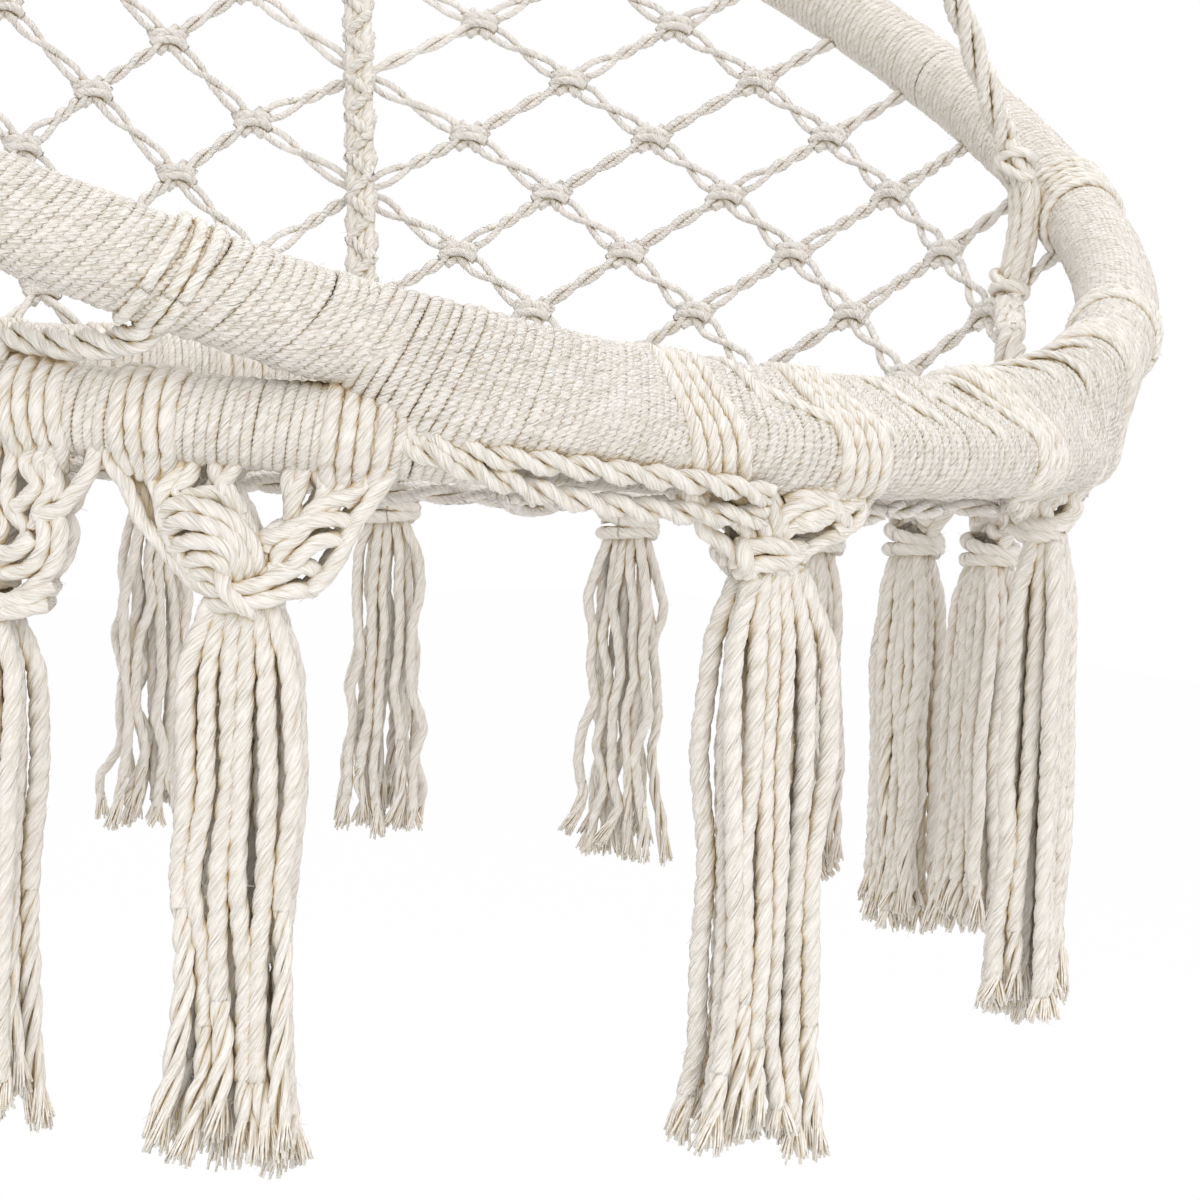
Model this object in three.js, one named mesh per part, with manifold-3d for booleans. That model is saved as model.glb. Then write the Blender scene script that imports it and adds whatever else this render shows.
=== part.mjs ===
// A hanging macrame chair: two cord-wrapped steel rings lashed together at the front, a net back,
// a net seat, four suspension ropes, one steel hanging ring and a fringe of gathered tassels.
// Millimetres, +Z up, the chair faces -Y. The origin is where a hook bears in the hanging ring.

import * as THREE from 'three';
import { mergeVertices } from 'three/addons/utils/BufferGeometryUtils.js';
import Module from 'manifold-3d';

const wasm = await Module();
wasm.setup();

// Driving dimensions
const seatRadius = 295; // centre line of the level seat ring
const seatTubeRadius = 9.5;
const seatWrapRadius = 15;
const backRadius = 400; // centre line of the tilted back ring
const backTubeRadius = 12;
const backWrapRadius = 18;
const backTilt = 26.5; // degrees above level
const backInset = 24; // the back ring lies this far behind the front of the seat ring
const backLift = 10; // and this far above it
const tubeWall = 1.8;
const wrapGap = 0.9; // from a tube to the flats of the sleeve of cord round it
const backWrapStart = 30.6; // degrees from the front, where the lashing ends
const seatWrapStart = 42.4;
const cordThickness = 4.4;
const lashingClearance = 2.4;
const fitGap = 0.4;

const hangHeight = 930; // from the seat ring up to the hook
const hangBack = 62; // the hook stands this far behind the middle of the seat ring
const hangingRingRadius = 35;
const hangingWireRadius = 5;

const ropeRadius = 6.5;
const strapRadius = 8;
const edgeRopeRadius = 6;
const frontRopeAngle = 61; // degrees round the back ring from its front
const frontStrapAngle = 66; // degrees round the seat ring, where the strap below that rope ends
const rearRopeAngle = 139;
const rearStrapAngle = 142;
const edgeRopeBackAngle = 38;
const edgeRopeSeatAngle = 62;
const lashingHalfAngle = 29.4;
const ropeSpread = 7; // the four ropes leave the crown this far from its axis
const strapRise = 18; // each strap starts this far above the back ring
const strapLanding = 24; // height over which a strap stands upright on the seat ring

const netThickness = 6;
const ribWidth = 6.4;
const smallestHole = 0.12; // share of its cell
const smallestCell = 60; // square millimetres; smaller corner cells are left out
const netClearance = 0.6;
const netRowHeight = 30.5; // half of one mesh of the back net
const netRowBase = -28.5;
const netRowSlope = 2.6; // each column forward of the rear strap stands this much higher
const rearRowHeight = 35;
const rearRowBase = -51;
const rearRowSlope = 4;
const netLean = 2.5; // degrees by which the columns at mid side lean back, beyond the straps
const strapGap = 10; // degrees from a rear strap to the next column of knots
const sideColumns = 9;
const rearColumns = 10;
const netRows = 13;

const seatNetPitch = 40; // half of one mesh of the seat net
const seatNetRim = 288;
const seatNetRimDrop = 19;
const seatNetSag = 12;

const tasselArmRadius = 5;
const tasselKnotRadius = 15;
const skirtPlugRadius = 17;
const skirtPlugHeight = 8;
const skirtFlare = 1.25;
const strandRadius = 4;
const strandsPerTassel = 10;
const outerStrands = 7; // the rest stand inside them
const outerStrandReach = 12.3; // from the middle of the skirt
const innerStrandReach = 5.2;

// Each tassel: angle round the seat ring, half angle between its two arms, drop of its knot
// and drop of its ends
const tassels = [
  [-10.5, 7, 42, 241], [29, 17, 36, 226], [67, 5.1, 54, 232], [79.5, 5.2, 56, 240],
  [92.5, 5.5, 62, 233], [113.5, 9, 66, 238], [138, 9, 68, 238], [161, 9, 62, 240],
  [184, 9, 62, 236], [207, 9, 60, 242], [229, 9, 62, 238], [250, 9, 58, 240],
  [271, 9, 60, 237], [297, 6.2, 58, 240], [314.5, 9, 60, 247],
];

const colours = { cord: 0xe9e0d0, net: 0xe6dccb, fringe: 0xe4d9c6, steel: 0xb9bcc0, tube: 0x8c8f93 };
const radians = THREE.MathUtils.degToRad;
const up = new THREE.Vector3(0, 0, 1);

function finish(colour, metal = false) {
  return new THREE.MeshStandardMaterial({
    color: colour,
    roughness: metal ? 0.35 : 0.95,
    metalness: metal ? 1 : 0,
  });
}

function mesh(name, geometry, material) {
  const result = new THREE.Mesh(geometry, material);
  result.name = name;
  return result;
}

// Points of the two rings, by the angle from the front of each
function seatPoint(angle, radius = seatRadius) {
  const turn = radians(angle);
  return new THREE.Vector3(radius * Math.sin(turn), -radius * Math.cos(turn), 0);
}

function backPoint(angle) {
  const turn = radians(angle);
  const reach = backRadius * (1 - Math.cos(turn));
  return new THREE.Vector3(
    backRadius * Math.sin(turn),
    -seatRadius + backInset + reach * Math.cos(radians(backTilt)),
    backLift + reach * Math.sin(radians(backTilt)),
  );
}

// From the back ring at this angle towards the middle of that ring
function backInward(angle) {
  const turn = radians(angle);
  return new THREE.Vector3(
    -Math.sin(turn),
    Math.cos(turn) * Math.cos(radians(backTilt)),
    Math.cos(turn) * Math.sin(radians(backTilt)),
  );
}

class RingArc extends THREE.Curve {
  constructor(pointAt, from, to) {
    super();
    this.pointAt = pointAt;
    this.from = from;
    this.to = to;
  }

  getPoint(t) {
    return this.pointAt(this.from + (this.to - this.from) * t);
  }
}

function circleShape(radius, sides, holeRadius = 0, holeSides = sides) {
  const corner = (r, n) => (_, i) => new THREE.Vector2(
    r * Math.cos((2 * Math.PI * i) / n),
    r * Math.sin((2 * Math.PI * i) / n),
  );
  const shape = new THREE.Shape(Array.from({ length: sides }, corner(radius, sides)));
  if (holeRadius > 0) {
    shape.holes.push(new THREE.Path(Array.from({ length: holeSides }, corner(holeRadius, holeSides))));
  }
  return shape;
}

function sweep(path, shape, steps) {
  return new THREE.ExtrudeGeometry(shape, { extrudePath: path, steps, bevelEnabled: false });
}

function rope(points, radius, sides, steps) {
  return sweep(new THREE.CatmullRomCurve3(points, false, 'centripetal'), circleShape(radius, sides), steps);
}

// Booleans
function solid(geometry) {
  const bare = geometry.index ? geometry.toNonIndexed() : geometry.clone();
  bare.deleteAttribute('normal');
  bare.deleteAttribute('uv');
  const merged = mergeVertices(bare, 1e-4);
  return new wasm.Manifold(new wasm.Mesh({
    numProp: 3,
    vertProperties: new Float32Array(merged.attributes.position.array),
    triVerts: new Uint32Array(merged.index.array),
  }));
}

function joined(geometries) {
  const [first, ...rest] = geometries.map(solid);
  const whole = rest.reduce((sum, piece) => sum.add(piece), first);
  const { vertProperties, triVerts } = whole.getMesh();
  const result = new THREE.BufferGeometry();
  result.setAttribute('position', new THREE.BufferAttribute(new Float32Array(vertProperties), 3));
  result.setIndex(new THREE.BufferAttribute(new Uint32Array(triVerts), 1));
  return result;
}

// Hanging ring and the crown of rope that hangs in it
function hangingRing() {
  const geometry = new THREE.TorusGeometry(hangingRingRadius, hangingWireRadius, 10, 32);
  geometry.rotateX(Math.PI / 2);
  geometry.translate(0, 0, hangingWireRadius - hangingRingRadius);
  return geometry;
}

const wireBottom = hangingWireRadius - 2 * hangingRingRadius;
const crownLength = 62; // of the whipping below the loops
const crownRadius = 18;
const crownTop = wireBottom - 24;
const loopRadius = 12.2; // of the rope's centre line round the wire
const loopRopeRadius = 6;
const loopHalfSpread = 6.3;
const loopLift = 0.7;

function ropeCrown() {
  const parts = [];
  for (const side of [-loopHalfSpread, loopHalfSpread]) {
    const points = [new THREE.Vector3(side, -loopRadius, crownTop - loopRopeRadius)];
    for (let i = 0; i <= 8; i += 1) {
      const turn = Math.PI - (Math.PI * i) / 8;
      points.push(new THREE.Vector3(
        side,
        loopRadius * Math.cos(turn),
        wireBottom + loopLift + loopRadius * Math.sin(turn),
      ));
    }
    points.push(new THREE.Vector3(side, loopRadius, crownTop - loopRopeRadius));
    parts.push(rope(points, loopRopeRadius, 8, 14));
  }
  const whipping = new THREE.CylinderGeometry(crownRadius, crownRadius - 1, crownLength, 12);
  whipping.rotateX(Math.PI / 2);
  whipping.translate(0, 0, crownTop - crownLength / 2);
  return joined([...parts, whipping]);
}

// Rings: a bent steel tube with an open butt seam at the front, and a sleeve of tightly wound cord
const ringSteps = 48;
const seamHalfAngle = 0.15;
const tubeSides = 6;
const wrapStepAngle = 7.5;

function ringTube(pointAt, radius) {
  const path = new RingArc(pointAt, seamHalfAngle, 360 - seamHalfAngle);
  return sweep(path, circleShape(radius, tubeSides, radius - tubeWall), ringSteps);
}

function ringWrap(pointAt, tubeRadius, outerRadius, from) {
  const path = new RingArc(pointAt, from, 360 - from);
  const bore = (tubeRadius + wrapGap) / Math.cos(Math.PI / tubeSides);
  const steps = Math.round((360 - 2 * from) / wrapStepAngle);
  return sweep(path, circleShape(outerRadius, 8, bore, tubeSides), steps);
}

// The lashing goes round both tubes where the rings meet
function lashing() {
  const stations = 9;
  const directions = 14;
  const loops = [];
  for (let s = 0; s < stations; s += 1) {
    const back = backPoint(-lashingHalfAngle + (2 * lashingHalfAngle * s) / (stations - 1));
    const azimuth = THREE.MathUtils.radToDeg(Math.atan2(back.x, -back.y));
    const seatTube = [seatRadius, 0, seatTubeRadius];
    const backTube = [Math.hypot(back.x, back.y), back.z, backTubeRadius];
    const outline = (extra) => Array.from({ length: directions }, (_, i) => {
      const turn = (2 * Math.PI * i) / directions;
      const du = Math.cos(turn);
      const dw = Math.sin(turn);
      const reach = ([u, w, r]) => u * du + w * dw + r;
      const [u, w, r] = reach(seatTube) > reach(backTube) ? seatTube : backTube;
      const point = seatPoint(azimuth, u + (r + extra) * du);
      point.z = w + (r + extra) * dw;
      return point;
    });
    loops.push([outline(lashingClearance), outline(lashingClearance + cordThickness)]);
  }
  const positions = [];
  const quad = (a, b, c, d) => [a, b, c, a, c, d].forEach((p) => positions.push(p.x, p.y, p.z));
  for (let s = 0; s < stations; s += 1) {
    for (let i = 0; i < directions; i += 1) {
      const j = (i + 1) % directions;
      const [inner, outer] = loops[s];
      if (s + 1 < stations) {
        const [nextInner, nextOuter] = loops[s + 1];
        quad(outer[i], nextOuter[i], nextOuter[j], outer[j]);
        quad(inner[i], inner[j], nextInner[j], nextInner[i]);
      }
      if (s === 0) quad(inner[i], outer[i], outer[j], inner[j]);
      if (s === stations - 1) quad(inner[i], inner[j], outer[j], outer[i]);
    }
  }
  return fromTriangles(positions);
}

function fromTriangles(positions) {
  const geometry = new THREE.BufferGeometry();
  geometry.setAttribute('position', new THREE.Float32BufferAttribute(positions, 3));
  return mergeVertices(geometry, 1e-3);
}

// A net as one sheet with a hole in each mesh. Each cell is a list of corner keys, all turning the
// same way round, and place(key, side) gives the corner on the upper or lower face of the sheet.
function cellHole(outer) {
  const centre = outer.reduce((sum, p) => sum.add(p), new THREE.Vector3());
  centre.divideScalar(outer.length);
  let area = 0;
  let edgeLength = 0;
  outer.forEach((p, i) => {
    const next = outer[(i + 1) % outer.length];
    area += new THREE.Triangle(centre, p, next).getArea();
    edgeLength += p.distanceTo(next);
  });
  const inradius = (2 * area) / edgeLength;
  const scale = Math.max(smallestHole, 1 - ribWidth / 2 / inradius);
  return outer.map((p) => p.clone().lerp(centre, 1 - scale));
}

function netSheet(cells, place) {
  const positions = [];
  const quad = (a, b, c, d) => [a, b, c, a, c, d].forEach((p) => positions.push(p.x, p.y, p.z));
  const edgeKeys = (cell) => cell.map((key, i) => `${key}>${cell[(i + 1) % cell.length]}`);
  const edges = new Set(cells.flatMap(edgeKeys));
  for (const cell of cells) {
    const top = cell.map((key) => place(key, 1));
    const bottom = cell.map((key) => place(key, -1));
    const topHole = cellHole(top);
    const bottomHole = cellHole(bottom);
    for (let i = 0; i < cell.length; i += 1) {
      const j = (i + 1) % cell.length;
      quad(top[i], top[j], topHole[j], topHole[i]);
      quad(bottom[j], bottom[i], bottomHole[i], bottomHole[j]);
      quad(topHole[i], topHole[j], bottomHole[j], bottomHole[i]);
      if (!edges.has(`${cell[j]}>${cell[i]}`)) quad(top[j], top[i], bottom[i], bottom[j]);
    }
  }
  return fromTriangles(positions);
}

// Back net: a ruled surface from the seat ring up to the back ring. Its lines lean as the straps do,
// and lean more between them.
const frontNetAngle = (frontRopeAngle + frontStrapAngle) / 2;
const frontNetShift = (frontStrapAngle - frontRopeAngle) / 2;
const rearNetAngle = (rearRopeAngle + rearStrapAngle) / 2;
const rearNetShift = (rearStrapAngle - rearRopeAngle) / 2;

function netShift(angle) {
  if (angle > 180) return -netShift(360 - angle);
  if (angle > rearNetAngle) return (rearNetShift * (180 - angle)) / (180 - rearNetAngle);
  const share = (angle - frontNetAngle) / (rearNetAngle - frontNetAngle);
  const strapShift = frontNetShift + (rearNetShift - frontNetShift) * share;
  return strapShift + netLean * Math.sin(Math.PI * share);
}

function ruledPoint(angle, share) {
  const shift = netShift(angle);
  return seatPoint(angle + shift).lerp(backPoint(angle - shift), share);
}

function distanceToRing(point, pointAt, near) {
  let best = Infinity;
  for (let d = -12; d <= 12; d += 0.1) best = Math.min(best, point.distanceTo(pointAt(near + d)));
  return best;
}

function clearShare(angle, pointAt, clearance, start, step) {
  let share = start;
  while (distanceToRing(ruledPoint(angle, share), pointAt, angle) < clearance) share += step;
  return share;
}

function netColumnAngle(column) {
  const last = 2 * sideColumns + rearColumns;
  if (column > last / 2) return 360 - netColumnAngle(last - column);
  if (column === sideColumns) return rearNetAngle;
  if (column < sideColumns) {
    return frontNetAngle + ((rearNetAngle - strapGap - frontNetAngle) * column) / (sideColumns - 1);
  }
  const share = (column - sideColumns - 1) / (rearColumns / 2 - 1);
  return rearNetAngle + strapGap + (180 - rearNetAngle - strapGap) * share;
}

function netRowLevel(column, row) {
  const fromFront = Math.min(column, 2 * sideColumns + rearColumns - column);
  if (fromFront > sideColumns) {
    return rearRowBase + rearRowHeight * row + rearRowSlope * (fromFront - sideColumns - 1);
  }
  return netRowBase + netRowHeight * row + netRowSlope * (sideColumns - 0.5 - fromFront);
}

function backNetPanel(first, last, firstTrim, lastTrim) {
  const columns = new Map();
  const columnData = (column) => {
    if (!columns.has(column)) {
      let angle = netColumnAngle(column);
      const reach = ruledPoint(angle, 0.5).setZ(0).length();
      if (column === first) angle += THREE.MathUtils.radToDeg(firstTrim / reach);
      if (column === last) angle -= THREE.MathUtils.radToDeg(lastTrim / reach);
      const low = clearShare(angle, seatPoint, seatWrapRadius + netClearance, 0.03, 0.002);
      const high = clearShare(angle, backPoint, backWrapRadius + netClearance, 0.97, -0.002);
      columns.set(column, { angle, low, high });
    }
    return columns.get(column);
  };
  const cornerShare = (column, row) => {
    const { angle, low, high } = columnData(column);
    const share = netRowLevel(column, row) / ruledPoint(angle, 1).z;
    return Math.min(high, Math.max(low, share));
  };
  const key = (column, row) => {
    const { low, high } = columnData(column);
    const share = cornerShare(column, row);
    if (share === low) return `${column}:low`;
    if (share === high) return `${column}:high`;
    return `${column}:${row}`;
  };
  const shareOf = (name) => {
    const [column, row] = name.split(':');
    const { low, high } = columnData(Number(column));
    if (row === 'low') return low;
    if (row === 'high') return high;
    return cornerShare(Number(column), Number(row));
  };
  const place = (name, side) => {
    const { angle } = columnData(Number(name.split(':')[0]));
    const share = shareOf(name);
    const along = ruledPoint(angle + 0.5, share).sub(ruledPoint(angle - 0.5, share));
    const rise = ruledPoint(angle, share + 0.01).sub(ruledPoint(angle, share - 0.01));
    const normal = along.cross(rise).normalize();
    return ruledPoint(angle, share).addScaledVector(normal, (side * netThickness) / 2);
  };
  const cells = [];
  for (let column = first; column <= last; column += 1) {
    for (let row = 0; row <= netRows; row += 1) {
      if ((column + row) % 2 === 0) {
        const corners = [[column, row - 1], [column + 1, row], [column, row + 1], [column - 1, row]];
        const inside = corners.filter(([c]) => c >= first && c <= last);
        const names = inside.map(([c, r]) => key(c, r));
        const cell = names.filter((name, i) => name !== names[(i + 1) % names.length]);
        const points = cell.map((name) => place(name, 0));
        const area = points.length < 3 ? 0 : points.slice(2).reduce(
          (sum, p, i) => sum + new THREE.Triangle(points[0], points[i + 1], p).getArea(),
          0,
        );
        if (area > smallestCell) cells.push(cell);
      }
    }
  }
  return netSheet(cells, place);
}

// Seat net: square meshes turned by 45 degrees, drawn out to the underside of the seat ring
function seatNet() {
  const corner = (m, n) => {
    const point = new THREE.Vector3(m * seatNetPitch, n * seatNetPitch, 0);
    if (point.length() > seatNetRim) point.setLength(seatNetRim);
    return point;
  };
  const place = (name, side) => {
    const [m, n] = name.split(',').map(Number);
    const point = corner(m, n);
    const share = point.length() / seatNetRim;
    point.z = -seatNetRimDrop - seatNetSag * (1 - share * share) + (side * netThickness) / 2;
    return point;
  };
  const outside = ([m, n]) => Math.hypot(m, n) * seatNetPitch >= seatNetRim;
  const cells = [];
  const reach = Math.ceil(seatNetRim / seatNetPitch);
  for (let m = -reach; m <= reach; m += 1) {
    for (let n = -reach; n <= reach; n += 1) {
      const corners = [[m, n - 1], [m + 1, n], [m, n + 1], [m - 1, n]];
      if ((m + n) % 2 === 0 && !corners.every(outside)) {
        cells.push(corners.map(([a, b]) => `${a},${b}`));
      }
    }
  }
  return netSheet(cells, place);
}

// Suspension ropes run to the inside of the back ring, and straps go on from there to the seat ring
function insideBackRing(angle) {
  return backPoint(angle).addScaledVector(backInward(angle), backWrapRadius + strapRadius + 1);
}

function ropeLine(angle) {
  const foot = insideBackRing(angle);
  const start = new THREE.Vector3(
    Math.sign(foot.x) * ropeSpread,
    hangBack + Math.sign(foot.y - hangBack) * ropeSpread,
    hangHeight + crownTop - crownLength - 4,
  );
  const way = start.clone().sub(foot).normalize();
  return { start, top: foot.clone().addScaledVector(way, strapRise), foot, way };
}

function suspensionRope(angle) {
  const { start, top, way } = ropeLine(angle);
  const end = top.clone().addScaledVector(way, fitGap);
  const middle = start.clone().lerp(end, 0.5);
  return rope([start, middle, end], ropeRadius, 8, 3);
}

function seatStrap(ropeAngle, strapAngle) {
  const { top, foot } = ropeLine(ropeAngle);
  const bottom = seatPoint(strapAngle).addScaledVector(up, seatWrapRadius + 1);
  const landing = bottom.clone().addScaledVector(up, strapLanding);
  const knee = foot.clone().lerp(landing, 0.3);
  return rope([top, foot, knee, landing, bottom], strapRadius, 8, 10);
}

function edgeRope(side) {
  const from = backPoint(side * edgeRopeBackAngle);
  const to = seatPoint(side * edgeRopeSeatAngle);
  const way = to.clone().sub(from).normalize();
  const start = from.clone().addScaledVector(up, -backWrapRadius - edgeRopeRadius - 1);
  const end = to.clone().addScaledVector(way, -6);
  end.z += seatWrapRadius + edgeRopeRadius + 0.6;
  return rope([start, start.clone().lerp(end, 0.5).addScaledVector(up, -1), end], edgeRopeRadius, 8, 5);
}

// A tassel: two arms of square knots run down to a round gathering knot; a skirt of cords hangs below
function tasselKnotCentre([angle, spread, drop]) {
  return seatPoint(angle, seatRadius * Math.cos(radians(spread * 0.8)) + 2).setZ(-drop - 4);
}

function tasselKnot(tassel) {
  const [angle, spread] = tassel;
  const centre = tasselKnotCentre(tassel);
  const knot = new THREE.SphereGeometry(tasselKnotRadius, 8, 6);
  knot.translate(centre.x, centre.y, centre.z);
  const arms = [-spread, spread].map((offset) => {
    const top = seatPoint(angle + offset, seatRadius + 3);
    top.z = -seatWrapRadius - tasselArmRadius - 1.2;
    return rope([top, top.clone().lerp(centre, 0.85)], tasselArmRadius, 5, 1);
  });
  return joined([knot, ...arms]);
}

function tasselSkirt(tassel) {
  const centre = tasselKnotCentre(tassel);
  const [angle, , , drop] = tassel;
  const top = centre.z - tasselKnotRadius - fitGap;
  const plug = new THREE.CylinderGeometry(skirtPlugRadius, skirtPlugRadius, skirtPlugHeight, 8);
  plug.rotateX(Math.PI / 2);
  plug.translate(centre.x, centre.y, top - skirtPlugHeight / 2);
  const strands = Array.from({ length: strandsPerTassel }, (_, i) => {
    const inner = i >= outerStrands;
    const count = inner ? strandsPerTassel - outerStrands : outerStrands;
    const turn = (2 * Math.PI * i) / count + radians(angle);
    const ring = inner ? innerStrandReach : outerStrandReach;
    const place = (scale, z) => new THREE.Vector3(
      centre.x + ring * scale * Math.cos(turn),
      centre.y + ring * scale * Math.sin(turn),
      z,
    );
    return rope([place(1, top - skirtPlugHeight + 2), place(skirtFlare, -drop)], strandRadius, 3, 1);
  });
  return joined([plug, ...strands]);
}

// Assembly
const object = new THREE.Group();
const chair = new THREE.Group();
chair.position.set(0, -hangBack, -hangHeight);
object.add(chair);

object.add(mesh('hanging_ring', hangingRing(), finish(colours.steel, true)));
object.add(mesh('rope_crown', ropeCrown(), finish(colours.cord)));

const corners = [
  ['front_left', -frontRopeAngle, -frontStrapAngle], ['front_right', frontRopeAngle, frontStrapAngle],
  ['rear_left', -rearRopeAngle, -rearStrapAngle], ['rear_right', rearRopeAngle, rearStrapAngle],
];
for (const [name, ropeAngle, strapAngle] of corners) {
  chair.add(mesh(`suspension_rope_${name}`, suspensionRope(ropeAngle), finish(colours.cord)));
  chair.add(mesh(`seat_strap_${name}`, seatStrap(ropeAngle, strapAngle), finish(colours.cord)));
}

chair.add(mesh('back_ring_tube', ringTube(backPoint, backTubeRadius), finish(colours.tube, true)));
chair.add(mesh('seat_ring_tube', ringTube(seatPoint, seatTubeRadius), finish(colours.tube, true)));
const backWrap = ringWrap(backPoint, backTubeRadius, backWrapRadius, backWrapStart);
const seatWrap = ringWrap(seatPoint, seatTubeRadius, seatWrapRadius, seatWrapStart);
chair.add(mesh('back_ring_wrap', backWrap, finish(colours.cord)));
chair.add(mesh('seat_ring_wrap', seatWrap, finish(colours.cord)));
chair.add(mesh('front_lashing', lashing(), finish(colours.cord)));
chair.add(mesh('net_edge_rope_left', edgeRope(-1), finish(colours.cord)));
chair.add(mesh('net_edge_rope_right', edgeRope(1), finish(colours.cord)));

const strapTrim = strapRadius + 4;
const seamTrim = fitGap / 2;
const panels = [
  ['back_net_right_front', 0, 4, strapTrim, seamTrim],
  ['back_net_right_rear', 4, 9, seamTrim, strapTrim],
  ['back_net_middle_right', 9, 14, strapTrim, seamTrim],
  ['back_net_middle_left', 14, 19, seamTrim, strapTrim],
  ['back_net_left_rear', 19, 24, strapTrim, seamTrim],
  ['back_net_left_front', 24, 28, seamTrim, strapTrim],
];
for (const [name, ...range] of panels) {
  chair.add(mesh(name, backNetPanel(...range), finish(colours.net)));
}
chair.add(mesh('seat_net', seatNet(), finish(colours.net)));

tassels.forEach((tassel, i) => {
  const number = String(i + 1).padStart(2, '0');
  chair.add(mesh(`tassel_knot_${number}`, tasselKnot(tassel), finish(colours.cord)));
  chair.add(mesh(`tassel_skirt_${number}`, tasselSkirt(tassel), finish(colours.fringe)));
});

export default object;
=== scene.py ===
import math
import bpy
import numpy as np
from mathutils import Matrix, Vector


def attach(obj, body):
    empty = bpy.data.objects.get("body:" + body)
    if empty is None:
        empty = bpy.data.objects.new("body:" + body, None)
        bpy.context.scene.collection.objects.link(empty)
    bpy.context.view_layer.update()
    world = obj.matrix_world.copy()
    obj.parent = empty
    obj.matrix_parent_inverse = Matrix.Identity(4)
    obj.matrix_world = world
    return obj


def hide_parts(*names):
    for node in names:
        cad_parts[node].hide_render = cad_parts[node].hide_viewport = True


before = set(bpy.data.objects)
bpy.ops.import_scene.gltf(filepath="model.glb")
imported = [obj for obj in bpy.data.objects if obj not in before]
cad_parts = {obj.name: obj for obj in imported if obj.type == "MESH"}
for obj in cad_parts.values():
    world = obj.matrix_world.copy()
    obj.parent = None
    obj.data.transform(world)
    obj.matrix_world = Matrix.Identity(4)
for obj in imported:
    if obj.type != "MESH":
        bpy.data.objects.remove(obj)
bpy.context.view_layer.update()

# The chair's own frame, used below: millimetres, middle of the seat ring at the origin, front at -y.
hangBack = 62.0
hangHeight = 930.0
chairOrigin = np.array([0.0, hangBack, hangHeight])
upward = np.array([0.0, 0.0, 1.0])
fullTurn = 2 * np.pi


def toRow(points):
    return (np.asarray(points, float) - chairOrigin) * 0.001


cameraLook = {
    "place": (-809.3, -1006.9, 51.3), "yaw": 43.41, "pitch": -5.75, "roll": 4.06,
    "lens": 92.94, "sensor": 36.0, "near": 0.05, "far": 60,
}


def addCamera(look):
    yaw, pitch, roll = (math.radians(look[name]) for name in ("yaw", "pitch", "roll"))
    forward = Vector((math.sin(yaw) * math.cos(pitch), math.cos(yaw) * math.cos(pitch), math.sin(pitch)))
    level = Vector((math.cos(yaw), -math.sin(yaw), 0))
    above = level.cross(forward)
    right = level * math.cos(roll) + above * math.sin(roll)
    top = above * math.cos(roll) - level * math.sin(roll)
    data = bpy.data.cameras.new("photoCamera")
    data.lens = look["lens"]
    data.sensor_width = look["sensor"]
    data.sensor_fit = "HORIZONTAL"
    data.clip_start = look["near"]
    data.clip_end = look["far"]
    camera = bpy.data.objects.new("photoCamera", data)
    bpy.context.scene.collection.objects.link(camera)
    turn = Matrix([(right[i], top[i], -forward[i], 0) for i in range(3)] + [(0, 0, 0, 1)])
    camera.matrix_world = Matrix.Translation(Vector(toRow(look["place"]))) @ turn
    bpy.context.scene.camera = camera


addCamera(cameraLook)
print("camera ready")


class Socket:
    # Wraps one socket of a node tree, so that shader maths reads as sums
    def __init__(self, tree, socket=None):
        self.tree = tree
        self.socket = socket

    def node(self, kind, output=0, settings=None, inputs=None):
        made = self.tree.nodes.new(kind)
        for name, value in (settings or {}).items():
            setattr(made, name, value)
        for name, value in (inputs or {}).items():
            if isinstance(value, Socket):
                self.tree.links.new(value.socket, made.inputs[name])
            else:
                made.inputs[name].default_value = value
        return Socket(self.tree, made.outputs[output])

    def maths(self, operation, *values):
        return self.node("ShaderNodeMath", settings={"operation": operation}, inputs=dict(enumerate(values)))

    def clamped(self):
        return self.node("ShaderNodeClamp", inputs={"Value": self})

    def __add__(self, other):
        return self.maths("ADD", self, other)

    __radd__ = __add__

    def __sub__(self, other):
        return self.maths("SUBTRACT", self, other)

    def __rsub__(self, other):
        return self.maths("SUBTRACT", other, self)

    def __mul__(self, other):
        return self.maths("MULTIPLY", self, other)

    __rmul__ = __mul__


def newTree(name):
    material = bpy.data.materials.new(name)
    material.use_nodes = True
    material.node_tree.nodes.clear()
    return material, Socket(material.node_tree)


def finishTree(graph, shader, kind="ShaderNodeOutputMaterial"):
    out = graph.tree.nodes.new(kind)
    graph.tree.links.new(shader.socket, out.inputs["Surface"])


def mixColour(graph, factor, first, second):
    return graph.node(
        "ShaderNodeMix", output=2, settings={"data_type": "RGBA"}, inputs={0: factor, 6: first, 7: second},
    )


def noise(graph, place, scale, detail):
    return graph.node("ShaderNodeTexNoise", inputs={"Vector": place, "Scale": scale, "Detail": detail})


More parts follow.
